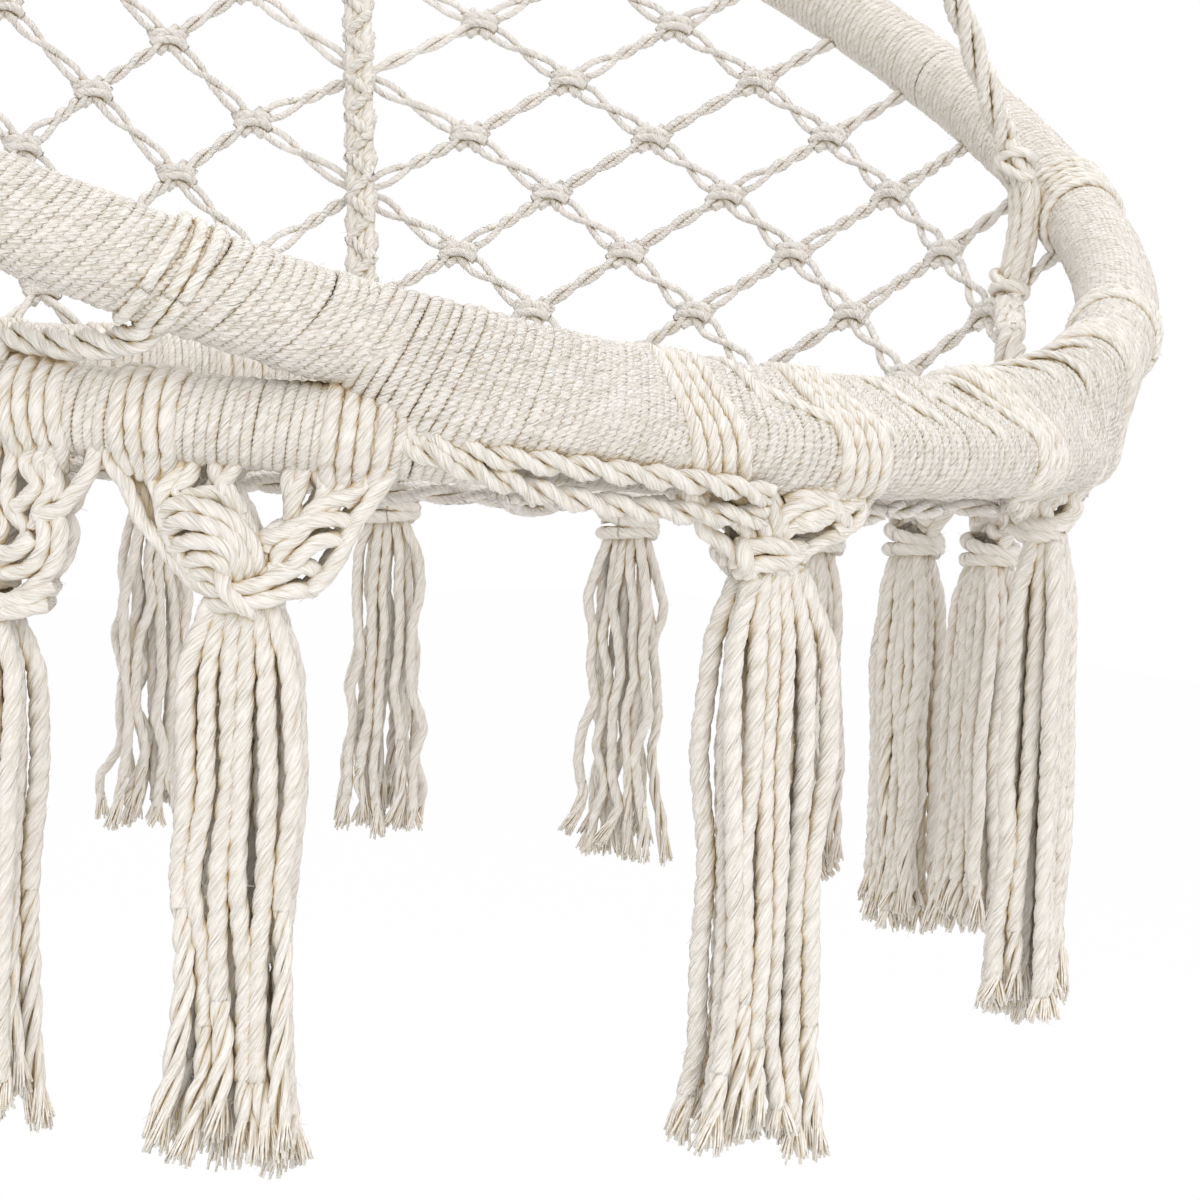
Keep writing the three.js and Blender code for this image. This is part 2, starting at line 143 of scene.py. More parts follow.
cottonLook = {
    # the crease colour is painted shade: the colour crevices and ply grooves take, warm like light bounced
    # between cotton cords
    "ridge": (0.895, 0.85, 0.80, 1), "shade": (0.62, 0.54, 0.42, 1), "creaseShade": (0.70, 0.53, 0.27, 1),
    "strands": (
        {
            "scale": (1.7, 1.7, 0.17), "detail": 3.0, "level": 0.50, "contrast": 5.0,
            "share": 0.72, "height": 0.9,
        },
        {
            "scale": (0.85, 0.85, 0.09), "detail": 1.5, "level": 0.47, "contrast": 7.0,
            "share": 0.40, "height": 1.2,
        },
    ),
    "patchScale": 14.0, "patchDetail": 3.0, "patchShare": 0.08,
    "reach": 0.009,  # how far off, in metres, other cords still paint shade into a crevice
    # samples, depthContrast, depthLevel and creaseShare set how strongly crevices and ply grooves are
    # painted with shade
    "samples": 8, "depthContrast": 1.9, "depthLevel": 0.78, "creaseShare": 0.30,
    "bump": 1.0, "bumpDepth": 0.0009,
    "roughness": 0.9, "sheen": 0.3, "sheenRoughness": 0.6, "specular": 0.15,
}


def cotton(name, **changes):
    look = {**cottonLook, **changes}
    material, graph = newTree(name)
    lay = graph.node("ShaderNodeAttribute", output="Vector", settings={"attribute_name": "lay"})
    creaseShade = graph.node("ShaderNodeAttribute", output="Fac", settings={"attribute_name": "creaseShade"})
    stains, heights = [], []
    for strand in look["strands"]:
        along = graph.node(
            "ShaderNodeVectorMath", settings={"operation": "MULTIPLY"}, inputs={0: lay, 1: strand["scale"]},
        )
        fibre = noise(graph, along, 1.0, strand["detail"])
        stains.append(((strand["level"] - fibre) * strand["contrast"]).clamped() * strand["share"])
        heights.append(fibre * strand["height"])
    place = graph.node("ShaderNodeTexCoord", output="Object")
    patch = noise(graph, place, look["patchScale"], look["patchDetail"])
    openness = graph.node(
        "ShaderNodeAmbientOcclusion", output="AO",
        settings={"samples": look["samples"]}, inputs={"Distance": look["reach"]},
    )
    stain = (stains[0] + stains[1] + patch * look["patchShare"]).clamped()
    tone = mixColour(graph, stain, look["ridge"], look["shade"])
    # Painted shade: crevices that ambient occlusion finds, and the grooves between plies, are mixed toward
    # the crease colour
    deep = (1 - openness) * look["depthContrast"] - look["depthLevel"]
    deep = (deep + creaseShade * look["creaseShare"]).clamped()
    bump = graph.node("ShaderNodeBump", inputs={
        "Strength": look["bump"], "Distance": look["bumpDepth"], "Height": heights[0] + heights[1],
    })
    finishTree(graph, graph.node("ShaderNodeBsdfPrincipled", inputs={
        "Base Color": mixColour(graph, deep, tone, look["creaseShade"]),
        "Roughness": look["roughness"],
        "Normal": bump,
        "Sheen Weight": look["sheen"],
        "Sheen Roughness": look["sheenRoughness"],
        "Specular IOR Level": look["specular"],
    }))
    return material


steelLook = {
    "grainDetail": 5.0, "wearScale": 60.0, "wearDetail": 3.0, "wearLevel": 0.45, "wearContrast": 3,
    "wearShare": 0.6, "bump": 0.25, "bumpDepth": 0.0002, "sheenSpread": 0.25,
}


def steel(name, **changes):
    look = {**steelLook, **changes}
    material, graph = newTree(name)
    place = graph.node("ShaderNodeTexCoord", output="Object")
    brushed = noise(graph, place, look["grain"], look["grainDetail"])
    worn = noise(graph, place, look["wearScale"], look["wearDetail"])
    wear = ((worn - look["wearLevel"]) * look["wearContrast"]).clamped() * look["wearShare"]
    bump = graph.node("ShaderNodeBump", inputs={
        "Strength": look["bump"], "Distance": look["bumpDepth"], "Height": brushed,
    })
    finishTree(graph, graph.node("ShaderNodeBsdfPrincipled", inputs={
        "Base Color": mixColour(graph, wear, look["clean"], look["worn"]),
        "Metallic": 1.0,
        "Roughness": brushed * look["sheenSpread"] + look["roughness"],
        "Normal": bump,
    }))
    return material


# One material for each slot
materials = {
    "wrap_cotton": cotton("wrapCotton", reach=0.004),
    "knot_cotton": cotton("knotCotton", reach=0.007),
    "fringe_cotton": cotton("fringeCotton", reach=0.0045),
    # The net and rope cottons are paler copies of the cotton: painted light that brightens the upper parts
    # the lamps light less. The net's paler streak colour also softens its fibre streaks
    "net_cotton": cotton("netCotton", reach=0.003, ridge=(0.93, 0.89, 0.85, 1), shade=(0.74, 0.67, 0.57, 1)),
    "rope_cotton": cotton("ropeCotton", reach=0.004, ridge=(0.92, 0.88, 0.83, 1)),
    "ring_steel": steel(
        "ringSteel", clean=(0.62, 0.63, 0.65, 1), worn=(0.42, 0.42, 0.42, 1), grain=900.0, roughness=0.22),
    "tube_steel": steel(
        "tubeSteel", clean=(0.30, 0.29, 0.28, 1), worn=(0.20, 0.17, 0.14, 1), grain=500.0, roughness=0.40),
}
print("materials ready")


def unit(vectors):
    return vectors / np.maximum(np.linalg.norm(vectors, axis=-1, keepdims=True), 1e-9)


def dot(a, b):
    return np.sum(a * b, axis=-1, keepdims=True)


def around(turn, first, second):
    turn = np.asarray(turn)[..., None]
    return np.cos(turn) * first + np.sin(turn) * second


def placed(shape, centre, side, rise, out):
    # Points told as millimetres sideways, upwards and outwards from a centre
    shape = np.asarray(shape, float)
    return centre + shape[:, :1] * side + shape[:, 1:2] * rise + shape[:, 2:] * out


def lengthsAlong(path):
    return np.concatenate([[0], np.cumsum(np.linalg.norm(np.diff(path, axis=0), axis=1))])


def resample(columns, count, reach=None, start=0.0, end=None):
    # Even steps along a path; reach is the length so far at each row, and all columns follow it
    reach = lengthsAlong(columns) if reach is None else reach
    want = np.linspace(start, reach[-1] if end is None else end, count)
    return np.stack([np.interp(want, reach, column) for column in columns.T], axis=1)


def spline(points, count):
    knots = np.asarray(points, float)
    ghost = np.vstack([2 * knots[0] - knots[1], knots, 2 * knots[-1] - knots[-2]])
    share = np.linspace(0, 1, 16, endpoint=False)[:, None]
    a, b, c, d = (ghost[i:len(ghost) - 3 + i, None] for i in range(4))
    dense = 2 * b + (c - a) * share + (2 * a - 5 * b + 4 * c - d) * share ** 2
    dense = 0.5 * (dense + (3 * b - a - 3 * c + d) * share ** 3)
    return resample(np.vstack([dense.reshape(-1, 3), knots[-1:]]), count)


def carryNormals(paths, tangents):
    # Normals that turn as little as possible from each point to the next
    normals = np.empty_like(paths)
    normals[:, 0] = unit(np.cross(tangents[:, 0], [0.31, 0.83, 0.17]))
    for i in range(paths.shape[1] - 1):
        step = paths[:, i + 1] - paths[:, i]
        scale = 2 / np.maximum(dot(step, step), 1e-12)
        mirrored = normals[:, i] - scale * dot(step, normals[:, i]) * step
        bent = tangents[:, i] - scale * dot(step, tangents[:, i]) * step
        change = tangents[:, i + 1] - bent
        scale = 2 / np.maximum(dot(change, change), 1e-12)
        normals[:, i + 1] = mirrored - scale * dot(change, mirrored) * change
    return unit(normals)


# How each sort of cord is laid: plies, sides to a ply, and depth of the groove as a share of the radius
lays = {
    "wound": (3, 3, 0.17), "fine": (3, 3, 0.2), "whipping": (3, 3, 0.24), "rope": (3, 4, 0.24),
    "filler": (3, 4, 0.22), "knotted": (3, 4, 0.18), "core": (4, 4, 0.1), "ply": (4, 2, 0.16),
    "yarn": (1, 6, 0.0), "hair": (1, 3, 0.0),
}
fuzzLook = {
    "lean": 1.3, "stray": 0.35, "length": (0.9, 3.2), "curl": (0.7, 0.3), "sunk": 0.15,
    "radii": np.array([0.09, 0.08, 0.06]), "pitch": 30.0,
}


class Weave:
    # Gathers the cords of one piece and makes one mesh of them
    def __init__(self):
        self.parts = []
        self.total = 0

    def cords(self, paths, radius, pitch, lay, seed, phase=0.0, normals=None, squeeze=1.0, fuzz=0.15):
        plies, perPly, groove = lays[lay]
        paths = np.asarray(paths, float)
        if paths.ndim == 2:
            paths = paths[None]
        count, steps, _ = paths.shape
        tangents = unit(np.gradient(paths, axis=1))
        if normals is None:
            normals = carryNormals(paths, tangents)
        normals = unit(normals - tangents * dot(normals, tangents))
        across = np.cross(tangents, normals)
        strides = np.linalg.norm(np.diff(paths, axis=1), axis=2)
        reach = np.concatenate([np.zeros((count, 1)), np.cumsum(strides, axis=1)], axis=1)
        sides = plies * perPly
        theta = fullTurn * np.arange(sides) / sides
        ridge = np.abs(np.cos(plies * theta / 2)) ** 0.8 if groove else np.ones(sides)
        phase = np.broadcast_to(np.asarray(phase, float), (count,))
        turn = theta + (fullTurn * reach / pitch + phase[:, None])[..., None]
        size = np.broadcast_to(np.asarray(radius, float), (count, steps))[..., None]
        size = size * (1 - groove * (1 - ridge))
        ring = paths[:, :, None] + (size * np.cos(turn) * squeeze)[..., None] * normals[:, :, None]
        ring = ring + (size * np.sin(turn))[..., None] * across[:, :, None]
        # each point's place on its own cord, which the cotton's fibres follow
        shift = np.random.default_rng(seed + self.total).uniform(0, 900, count)
        onCord = np.stack(np.broadcast_arrays(
            size * np.cos(theta), size * np.sin(theta), (reach + shift[:, None])[..., None]), axis=-1)
        if not groove:
            onCord = onCord * 0.4
        # the crease mask marks the grooves between plies, where the cotton paints shade
        creaseShade = np.broadcast_to(1 - ridge, (count, steps, sides))
        ends = paths[:, [0, -1]].reshape(-1, 3)
        endsOnCord = np.stack([onCord[:, 0, 0], onCord[:, -1, 0]], axis=1).reshape(-1, 3)
        grid = self.total + np.arange(count * steps * sides).reshape(count, steps, sides)
        nextSide = np.roll(grid, -1, axis=2)
        quads = np.stack([grid[:, :-1], nextSide[:, :-1], nextSide[:, 1:], grid[:, 1:]], axis=-1)
        tips = self.total + count * steps * sides + np.arange(2 * count).reshape(count, 2)
        head = np.broadcast_to(tips[:, :1], (count, sides))
        tail = np.broadcast_to(tips[:, 1:], (count, sides))
        closing = [
            np.stack([head, nextSide[:, 0], grid[:, 0]], axis=-1).reshape(-1, 3),
            np.stack([tail, grid[:, -1], nextSide[:, -1]], axis=-1).reshape(-1, 3),
        ]
        self.parts.append({
            "points": np.vstack([ring.reshape(-1, 3), ends]),
            "quads": quads.reshape(-1, 4),
            "tris": np.vstack(closing),
            "lay": np.vstack([onCord.reshape(-1, 3), endsOnCord]),
            "creaseShade": np.concatenate([creaseShade.reshape(-1), np.zeros(len(ends))]),
        })
        self.total += count * steps * sides + 2 * count
        if fuzz:
            self.fuzz(paths, ring, tangents, int(fuzz * reach[:, -1].sum()), seed)

    def fuzz(self, paths, ring, tangents, amount, seed):
        # Short loose fibres stand off the cord here and there
        look = fuzzLook
        rng = np.random.default_rng(seed + 7)
        cord = rng.integers(0, paths.shape[0], amount)
        step = rng.integers(0, paths.shape[1], amount)
        root = ring[cord, step, rng.integers(0, ring.shape[2], amount)]
        out = unit(root - paths[cord, step])
        lean = tangents[cord, step] * rng.normal(0, look["lean"], (amount, 1))
        way = unit(out + lean + rng.normal(0, look["stray"], (amount, 3)))
        way = way * rng.uniform(*look["length"], (amount, 1))
        curl = tangents[cord, step] * rng.normal(0, look["curl"][0], (amount, 1))
        curl = curl + rng.normal(0, look["curl"][1], (amount, 3))
        share = np.linspace(0, 1, 3)[:, None]
        hairs = (root - out * look["sunk"])[:, None] + way[:, None] * share + curl[:, None] * share ** 2
        self.cords(hairs, look["radii"], look["pitch"], "hair", seed + 8, fuzz=0)

    def piece(self, node, ending, slotName, body="chair"):
        gathered = {key: np.concatenate([part[key] for part in self.parts]) for key in self.parts[0]}
        meshPiece(node, ending, gathered, slotName, body)


def meshPiece(node, ending, data, slotName, body):
    # The piece that stands for one CAD node, named after it
    name = f"{node}_{ending}"
    mesh = bpy.data.meshes.new(name)
    points = toRow(data["points"])
    quads, tris = data["quads"], data.get("tris", np.empty((0, 3), int))
    mesh.vertices.add(len(points))
    mesh.vertices.foreach_set("co", points.ravel())
    corners = np.concatenate([quads.ravel(), tris.ravel()]).astype(np.int32)
    mesh.loops.add(len(corners))
    mesh.loops.foreach_set("vertex_index", corners)
    mesh.polygons.add(len(quads) + len(tris))
    starts = np.concatenate([4 * np.arange(len(quads)), 4 * len(quads) + 3 * np.arange(len(tris))])
    mesh.polygons.foreach_set("loop_start", starts.astype(np.int32))
    mesh.polygons.foreach_set("use_smooth", np.ones(len(starts), bool))
    mesh.update(calc_edges=True)
    for key, kind, field in (("lay", "FLOAT_VECTOR", "vector"), ("creaseShade", "FLOAT", "value")):
        if key in data:
            values = mesh.attributes.new(key, kind, "POINT")
            values.data.foreach_set(field, data[key].ravel().astype(np.float32))
    mesh.materials.append(materials[slotName])
    made = bpy.data.objects.new(name, mesh)
    bpy.context.scene.collection.objects.link(made)
    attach(made, body)
    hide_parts(node)


# The two rings. Wound is where the plain turns run, in degrees, and slant their lean, more at the front left
seatRing = {"radius": 295.0, "tube": 9.5, "wrap": 15.0, "wound": (40.0, 347.0), "slant": (4, 0)}
backRing = {
    "radius": 400.0, "tube": 12.0, "wrap": 18.0, "wound": (27.6, 333.3), "slant": (7, 20),
    "tilt": 26.5, "inset": 24.0, "lift": 10.0,
}
tiltCos = math.cos(math.radians(backRing["tilt"]))
tiltSin = math.sin(math.radians(backRing["tilt"]))
backRise = np.array([0.0, -tiltSin, tiltCos])


def seatPoint(angle, out=0.0, height=0.0):
    turn = np.radians(angle)
    reach = seatRing["radius"] + out
    return np.stack([reach * np.sin(turn), -reach * np.cos(turn), height + 0 * turn], axis=-1)


def backPoint(angle):
    turn = np.radians(angle)
    reach = backRing["radius"] * (1 - np.cos(turn))
    return np.stack([
        backRing["radius"] * np.sin(turn),
        backRing["inset"] - seatRing["radius"] + reach * tiltCos,
        backRing["lift"] + reach * tiltSin,
    ], axis=-1)


def seatOutward(angle):
    turn = np.radians(angle)
    return np.stack([np.sin(turn), -np.cos(turn), 0 * turn], axis=-1)


def backOutward(angle):
    turn = np.radians(angle)
    return np.stack([np.sin(turn), -np.cos(turn) * tiltCos, -np.cos(turn) * tiltSin], axis=-1)


coilLook = {
    "cord": 2.4, "thin": 0.62, "pitch": 3.55, "lay": 15.0, "steps": 48, "fuzz": 0.04,
    "looseness": 0.22, "creep": 0.32, "tuck": 1.0, "tuckTurns": 4, "slantAt": -50, "slantWidth": 48.0,
}


def coil(name, ring, pointAt, outwardAt, rise, seed):
    look = coilLook
    rng = np.random.default_rng(seed)
    start, end = ring["wound"]
    turns = int(math.radians(end - start) * ring["radius"] / look["pitch"])
    winding = np.linspace(0, turns, turns * look["steps"])
    section = fullTurn * winding
    looseness = np.interp(winding, np.arange(turns + 1), rng.normal(0, look["looseness"], turns + 1))
    creep = np.interp(winding, np.arange(2 * turns + 1) / 2, rng.normal(0, look["creep"], 2 * turns + 1))
    reach = ring["wrap"] - look["cord"] * look["thin"] + looseness
    # the first and last turns tuck in under the cord that carries on
    fromEnd = np.minimum(winding, turns - winding)
    reach = reach - look["tuck"] * np.clip(1 - fromEnd / look["tuckTurns"], 0, 1)
    angle = start + (end - start) * winding / turns
    away = (angle - look["slantAt"]) % 360
    near = np.exp(-((away - 360 * (away > 180)) / look["slantWidth"]) ** 2)
    slant = np.tan(np.radians(ring["slant"][0] + ring["slant"][1] * near))
    angle = angle + np.degrees((slant * reach * np.sin(section) + creep) / ring["radius"])
    normals = around(section, outwardAt(angle), rise)
    wrap = Weave()
    wrap.cords(
        pointAt(angle) + reach[:, None] * normals, look["cord"], look["lay"], "wound", seed,
        normals=normals[None], squeeze=look["thin"], fuzz=look["fuzz"],
    )
    wrap.piece(f"{name}_wrap", "cord", "wrap_cotton")


coil("back_ring", backRing, backPoint, backOutward, backRise, 11)
coil("seat_ring", seatRing, seatPoint, seatOutward, upward, 12)
print("ring wraps ready")


# The lashing winds round both rings at the front. Its marks are degrees on the back ring: where the turns
# begin, where they cover the whole seat ring, and where they end
lashingLook = {
    "join": -28.0, "start": -12.5, "end": 29.0,
    "cord": 2.4, "thin": 0.64, "pitch": 3.5, "lay": 12.0, "steps": 76, "fuzz": 0.05,
    "stand": 3.6, "standSpread": 0.25, "wander": 0.04,
    "partway": (301.0, 5.5, 12.0), "easeIn": 7, "easeOut": 5,
    "closer": 0.8, "closerAt": 3, "closerWidth": 5.5, "slants": (24, 20, 7, 3), "slantMarks": (0, 20),
}
backAngles = np.linspace(-60, 60, 481)
backAzimuths = np.degrees(np.arctan2(backPoint(backAngles)[:, 0], -backPoint(backAngles)[:, 1]))
joinAzimuth, startAzimuth, endAzimuth = np.interp(
    [lashingLook[mark] for mark in ("join", "start", "end")], backAngles, backAzimuths)


def backCircle(azimuth, extra):
    crossing = backPoint(np.interp(azimuth, backAzimuths, backAngles))
    return math.hypot(crossing[0], crossing[1]), crossing[2], backRing["tube"] + extra


def seatCircle(extra):
    return seatRing["radius"], 0.0, seatRing["tube"] + extra


def hullOutline(azimuth, extra, count, begin=-115.0, lower=None):
    # Points and outward directions round two circles, evenly spaced, in the plane of one azimuth
    back = backCircle(azimuth, extra)
    seat = lower or seatCircle(extra)
    turn = np.radians(begin) + np.linspace(0, fullTurn, 721)
    direction = np.stack([np.cos(turn), np.sin(turn)], axis=1)
    reach = [u * direction[:, 0] + w * direction[:, 1] + r for u, w, r in (seat, back)]
    first = (reach[0] > reach[1])[:, None]
    outline = np.where(first, seat[:2], back[:2]) + np.where(first, seat[2], back[2]) * direction
    return resample(np.hstack([outline, direction]), count, lengthsAlong(outline))


def sectionToChair(azimuth, section):
    turn = np.radians(azimuth)
    return np.stack([section[:, 0] * np.sin(turn), -section[:, 0] * np.cos(turn), section[:, 1]], axis=1)


def addLashing(weave, look):
    rng = np.random.default_rng(21)
    stride = math.degrees(look["pitch"] / seatRing["radius"])
    share = np.linspace(0, 1, look["steps"], endpoint=False)
    # the turns lie closer where they begin to cover the seat ring
    spots = [joinAzimuth]
    while spots[-1] < endAzimuth:
        close = abs(spots[-1] - startAzimuth + look["closerAt"]) < look["closerWidth"]
        spots.append(spots[-1] + stride * (look["closer"] if close else 1.0))
    # on the left they cover only the top of the seat ring, lower and lower
    marks = [joinAzimuth, joinAzimuth + look["easeIn"], startAzimuth - look["easeOut"], startAzimuth]
    points, normals = [], []
    for azimuth, following in zip(spots, spots[1:]):
        extra = look["stand"] + rng.normal(0, look["standSpread"])
        stages = np.array([backCircle(azimuth, extra), look["partway"], look["partway"], seatCircle(extra)])
        lower = tuple(np.interp(azimuth, marks, stages[:, k]) for k in range(3))
        section = hullOutline(azimuth, extra, look["steps"] + 1, lower=lower)[:-1]
        slant = np.interp(azimuth, [joinAzimuth, startAzimuth, *look["slantMarks"]], look["slants"])
        height = section[:, 1] - section[:, 1].mean()
        lean = np.degrees(math.tan(math.radians(slant)) * height / seatRing["radius"])
        wander = azimuth + (following - azimuth) * share + lean + rng.normal(0, look["wander"])
        points.append(sectionToChair(wander, section[:, :2]))
        normals.append(sectionToChair(wander, section[:, 2:]))
    weave.cords(
        np.vstack(points), look["cord"], look["lay"], "fine", 22,
        normals=unit(np.vstack(normals))[None], squeeze=look["thin"], fuzz=look["fuzz"],
    )


# Loose turns cross on top of the lashing, each over part of the way round it
crossLook = {
    "count": 11, "from": 4, "to": -1, "stand": 5.0, "points": 121, "ends": ((46, -5, 12), (88, -14, 8)),
    "leanFrom": (0.5, 4.0), "leanTo": (0.5, 4.5), "sink": 4.2, "sinkPower": 7,
    "steps": 70, "cord": 2.9, "thin": 0.6, "lay": 20.0,
}


def addCrossTurns(weave, look):
    rng = np.random.default_rng(23)
    paths, normals = [], []
    for azimuth in np.linspace(startAzimuth + look["from"], endAzimuth + look["to"], look["count"]):
        section = hullOutline(azimuth, look["stand"], look["points"])
        begin, end = (at + int(rng.integers(low, high)) for at, low, high in look["ends"])
        part = section[begin:end].copy()
        first, last = rng.uniform(*look["leanFrom"]), -rng.uniform(*look["leanTo"])
        lean = azimuth + np.linspace(first, last, len(part))
        sink = look["sink"] * np.abs(np.linspace(-1, 1, len(part))) ** look["sinkPower"]
        part[:, :2] -= part[:, 2:] * sink[:, None]
        line = np.hstack([sectionToChair(lean, part[:, :2]), sectionToChair(lean, part[:, 2:])])
        line = resample(line, look["steps"], lengthsAlong(line[:, :3]))
        paths.append(line[:, :3])
        normals.append(line[:, 3:])
    weave.cords(
        paths, look["cord"], look["lay"], "rope", 24, normals=np.array(normals), squeeze=look["thin"],
    )


def twistedRope(weave, path, cord, spread, pitch, count, seed):
    tangent = unit(np.gradient(path, axis=0))
    normals = carryNormals(path[None], tangent[None])[0]
    across = np.cross(tangent, normals)
    reach = lengthsAlong(path)
    turns = [fullTurn * (reach / pitch + i / count) for i in range(count)]
    weave.cords([path + spread * around(turn, normals, across) for turn in turns], cord, 17.0, "rope", seed)


# Two twisted cords run on below the lashing's left end, along the seat ring
bandLook = {
    "azimuths": (-37, -34, -31, -27, -22, -17, -13),
    "radii": ((303, 309, 312, 312.5, 312.5, 312, 312), (304, 310, 311, 309, 307, 307, 310)),
    "heights": ((4, -2, -4.5, -6, -8, -10, -13), (-1, -6, -11, -16, -19, -20, -20)),
    "steps": 150, "cord": 2.5, "spread": 2.1, "pitch": 26.0,
}


def addBandCords(weave, look):
    for seed, radii, heights in zip((26, 27), look["radii"], look["heights"]):
        out = np.array(radii) - seatRing["radius"]
        path = spline(seatPoint(np.array(look["azimuths"], float), out, np.array(heights)), look["steps"])
        twistedRope(weave, path, look["cord"], look["spread"], look["pitch"], 2, seed)


lashing = Weave()
addLashing(lashing, lashingLook)
addCrossTurns(lashing, crossLook)
addBandCords(lashing, bandLook)
lashing.piece("front_lashing", "cord", "wrap_cotton")
print("lashing ready")


# A band of square knots along a path: fillers run straight, and two cords cross them by turns
sinnetLook = {
    "depth": 0.45, "crossing": 0.75, "climb": 0.16, "lay": 18.0,
    "fillers": (-0.62, 0.0, 0.62), "fillerCord": 1.1, "fillerLay": 24.0,
}


def sinnet(weave, axis, front, halfWidth, cord, knotHeight, seed, taper=1.0):
    look = sinnetLook
    tangent = unit(np.gradient(axis, axis=0))
    front = unit(front - tangent * dot(front, tangent))
    side = np.cross(tangent, front)
    swing = np.pi * np.linspace(0, lengthsAlong(axis)[-1], len(axis)) / knotHeight
    width = halfWidth * np.broadcast_to(taper, len(axis))
    lines = []
    for turned in (1, -1):
        across = turned * width * np.cos(swing)
        depth = turned * cord * (look["depth"] + look["crossing"] * np.sin(swing) ** 2)
        climb = -turned * look["climb"] * knotHeight * np.sin(2 * swing)
        lines.append(axis + side * across[:, None] + front * depth[:, None] + tangent * climb[:, None])
    weave.cords(lines, cord, look["lay"], "rope", seed)
    straight = [axis + side * (spot * width)[:, None] for spot in look["fillers"]]
    weave.cords(straight, cord * look["fillerCord"], look["fillerLay"], "filler", seed + 1)


def loopsRound(centre, side, front, lifts, width, depth):
    turn = np.linspace(-0.5 * np.pi, 1.5 * np.pi, 64)
    level = centre + around(turn, side * width, front * depth)
    return [level + (lift + slope * width * np.cos(turn))[:, None] * upward for lift, slope in lifts]


def hitchRound(angle, outer, sway, start, reach):
    # One turn of a cord round the back ring
    turn = np.linspace(0, fullTurn, 64)
    return backPoint(angle + sway * np.sin(turn + start)) + reach * around(turn, outer, backRise)


# The back net's columns and rows, as fitted to the knots
netShape = {
    "side": 9, "rear": 10, "front": 63.5, "spine": 140.5, "gap": 10.0, "lean": 2.5,
    "frontShift": 2.5, "spineShift": 1.5, "base": -28.5, "rise": 30.5, "slope": 2.6,
    "rearBase": -51.0, "rearRise": 35.0, "rearSlope": 4.0,
}
netLast = 2 * netShape["side"] + netShape["rear"]


def netColumn(column):
    look = netShape
    if column > netLast / 2:
        return 360 - netColumn(netLast - column)
    if column == look["side"]:
        return look["spine"]
    if column < look["side"]:
        return look["front"] + (look["spine"] - look["gap"] - look["front"]) * column / (look["side"] - 1)
    share = (column - look["side"] - 1) / (look["rear"] / 2 - 1)
    return look["spine"] + look["gap"] + (180 - look["spine"] - look["gap"]) * share


def netLevel(column, row):
    look = netShape
    inward = min(column, netLast - column)
    if inward > look["side"]:
        return look["rearBase"] + look["rearRise"] * row + look["rearSlope"] * (inward - look["side"] - 1)
    return look["base"] + look["rise"] * row + look["slope"] * (look["side"] - 0.5 - inward)


def netShift(angle):
    look = netShape
    if angle > 180:
        return -netShift(360 - angle)
    if angle > look["spine"]:
        return look["spineShift"] * (180 - angle) / (180 - look["spine"])
    share = (angle - look["front"]) / (look["spine"] - look["front"])
    straight = look["frontShift"] + (look["spineShift"] - look["frontShift"]) * share
    return straight + look["lean"] * math.sin(math.pi * share)


def ruled(angle, share):
    # A point of the net's surface, share of the way up from the seat ring to the back ring
    shift = netShift(angle)
    low = seatPoint(float(angle + shift))
    return low + (backPoint(float(angle - shift)) - low) * share


# Suspension ropes, knot blocks and straps
wireBottom = -65.0
crownTop = wireBottom - 24
crownLength = 62.0
ropeLook = {
    "cord": 3.3, "spread": 3.6, "pitch": 74.0, "steps": 240, "topOut": 7, "clear": 9,
    "rise": 18.0, "drop": 46.0, "blockCord": 3.2, "blockLay": 24.0,
    "bundle": ((-7.5, 1), (-2.6, 3), (2.6, 3), (7.5, 1), (-5, -3.5), (0, -4), (5, -3.5)), "bow": 0.12,
    "gatherCord": 2.6, "gatherLay": 22.0, "hitches": (-1.7, -0.8, 0.1, 1.0, 1.9), "sway": 0.5,
    "stand": 0.8, "standSpread": 0.3,
    "netEnd": (72.6, 0.40), "netCord": 2.5, "netSpread": 2.7, "netPitch": 30.0,
    "landing": 24, "knee": 0.4, "strapCord": 3.2, "knotHeight": 12.0,
}
corners = {
    "front_left": (-61.0, -66.0, 4.6), "front_right": (61.0, 66.0, 4.6),
    "rear_left": (-139.0, -142.0, 6.2), "rear_right": (139.0, 142.0, 6.2),
}


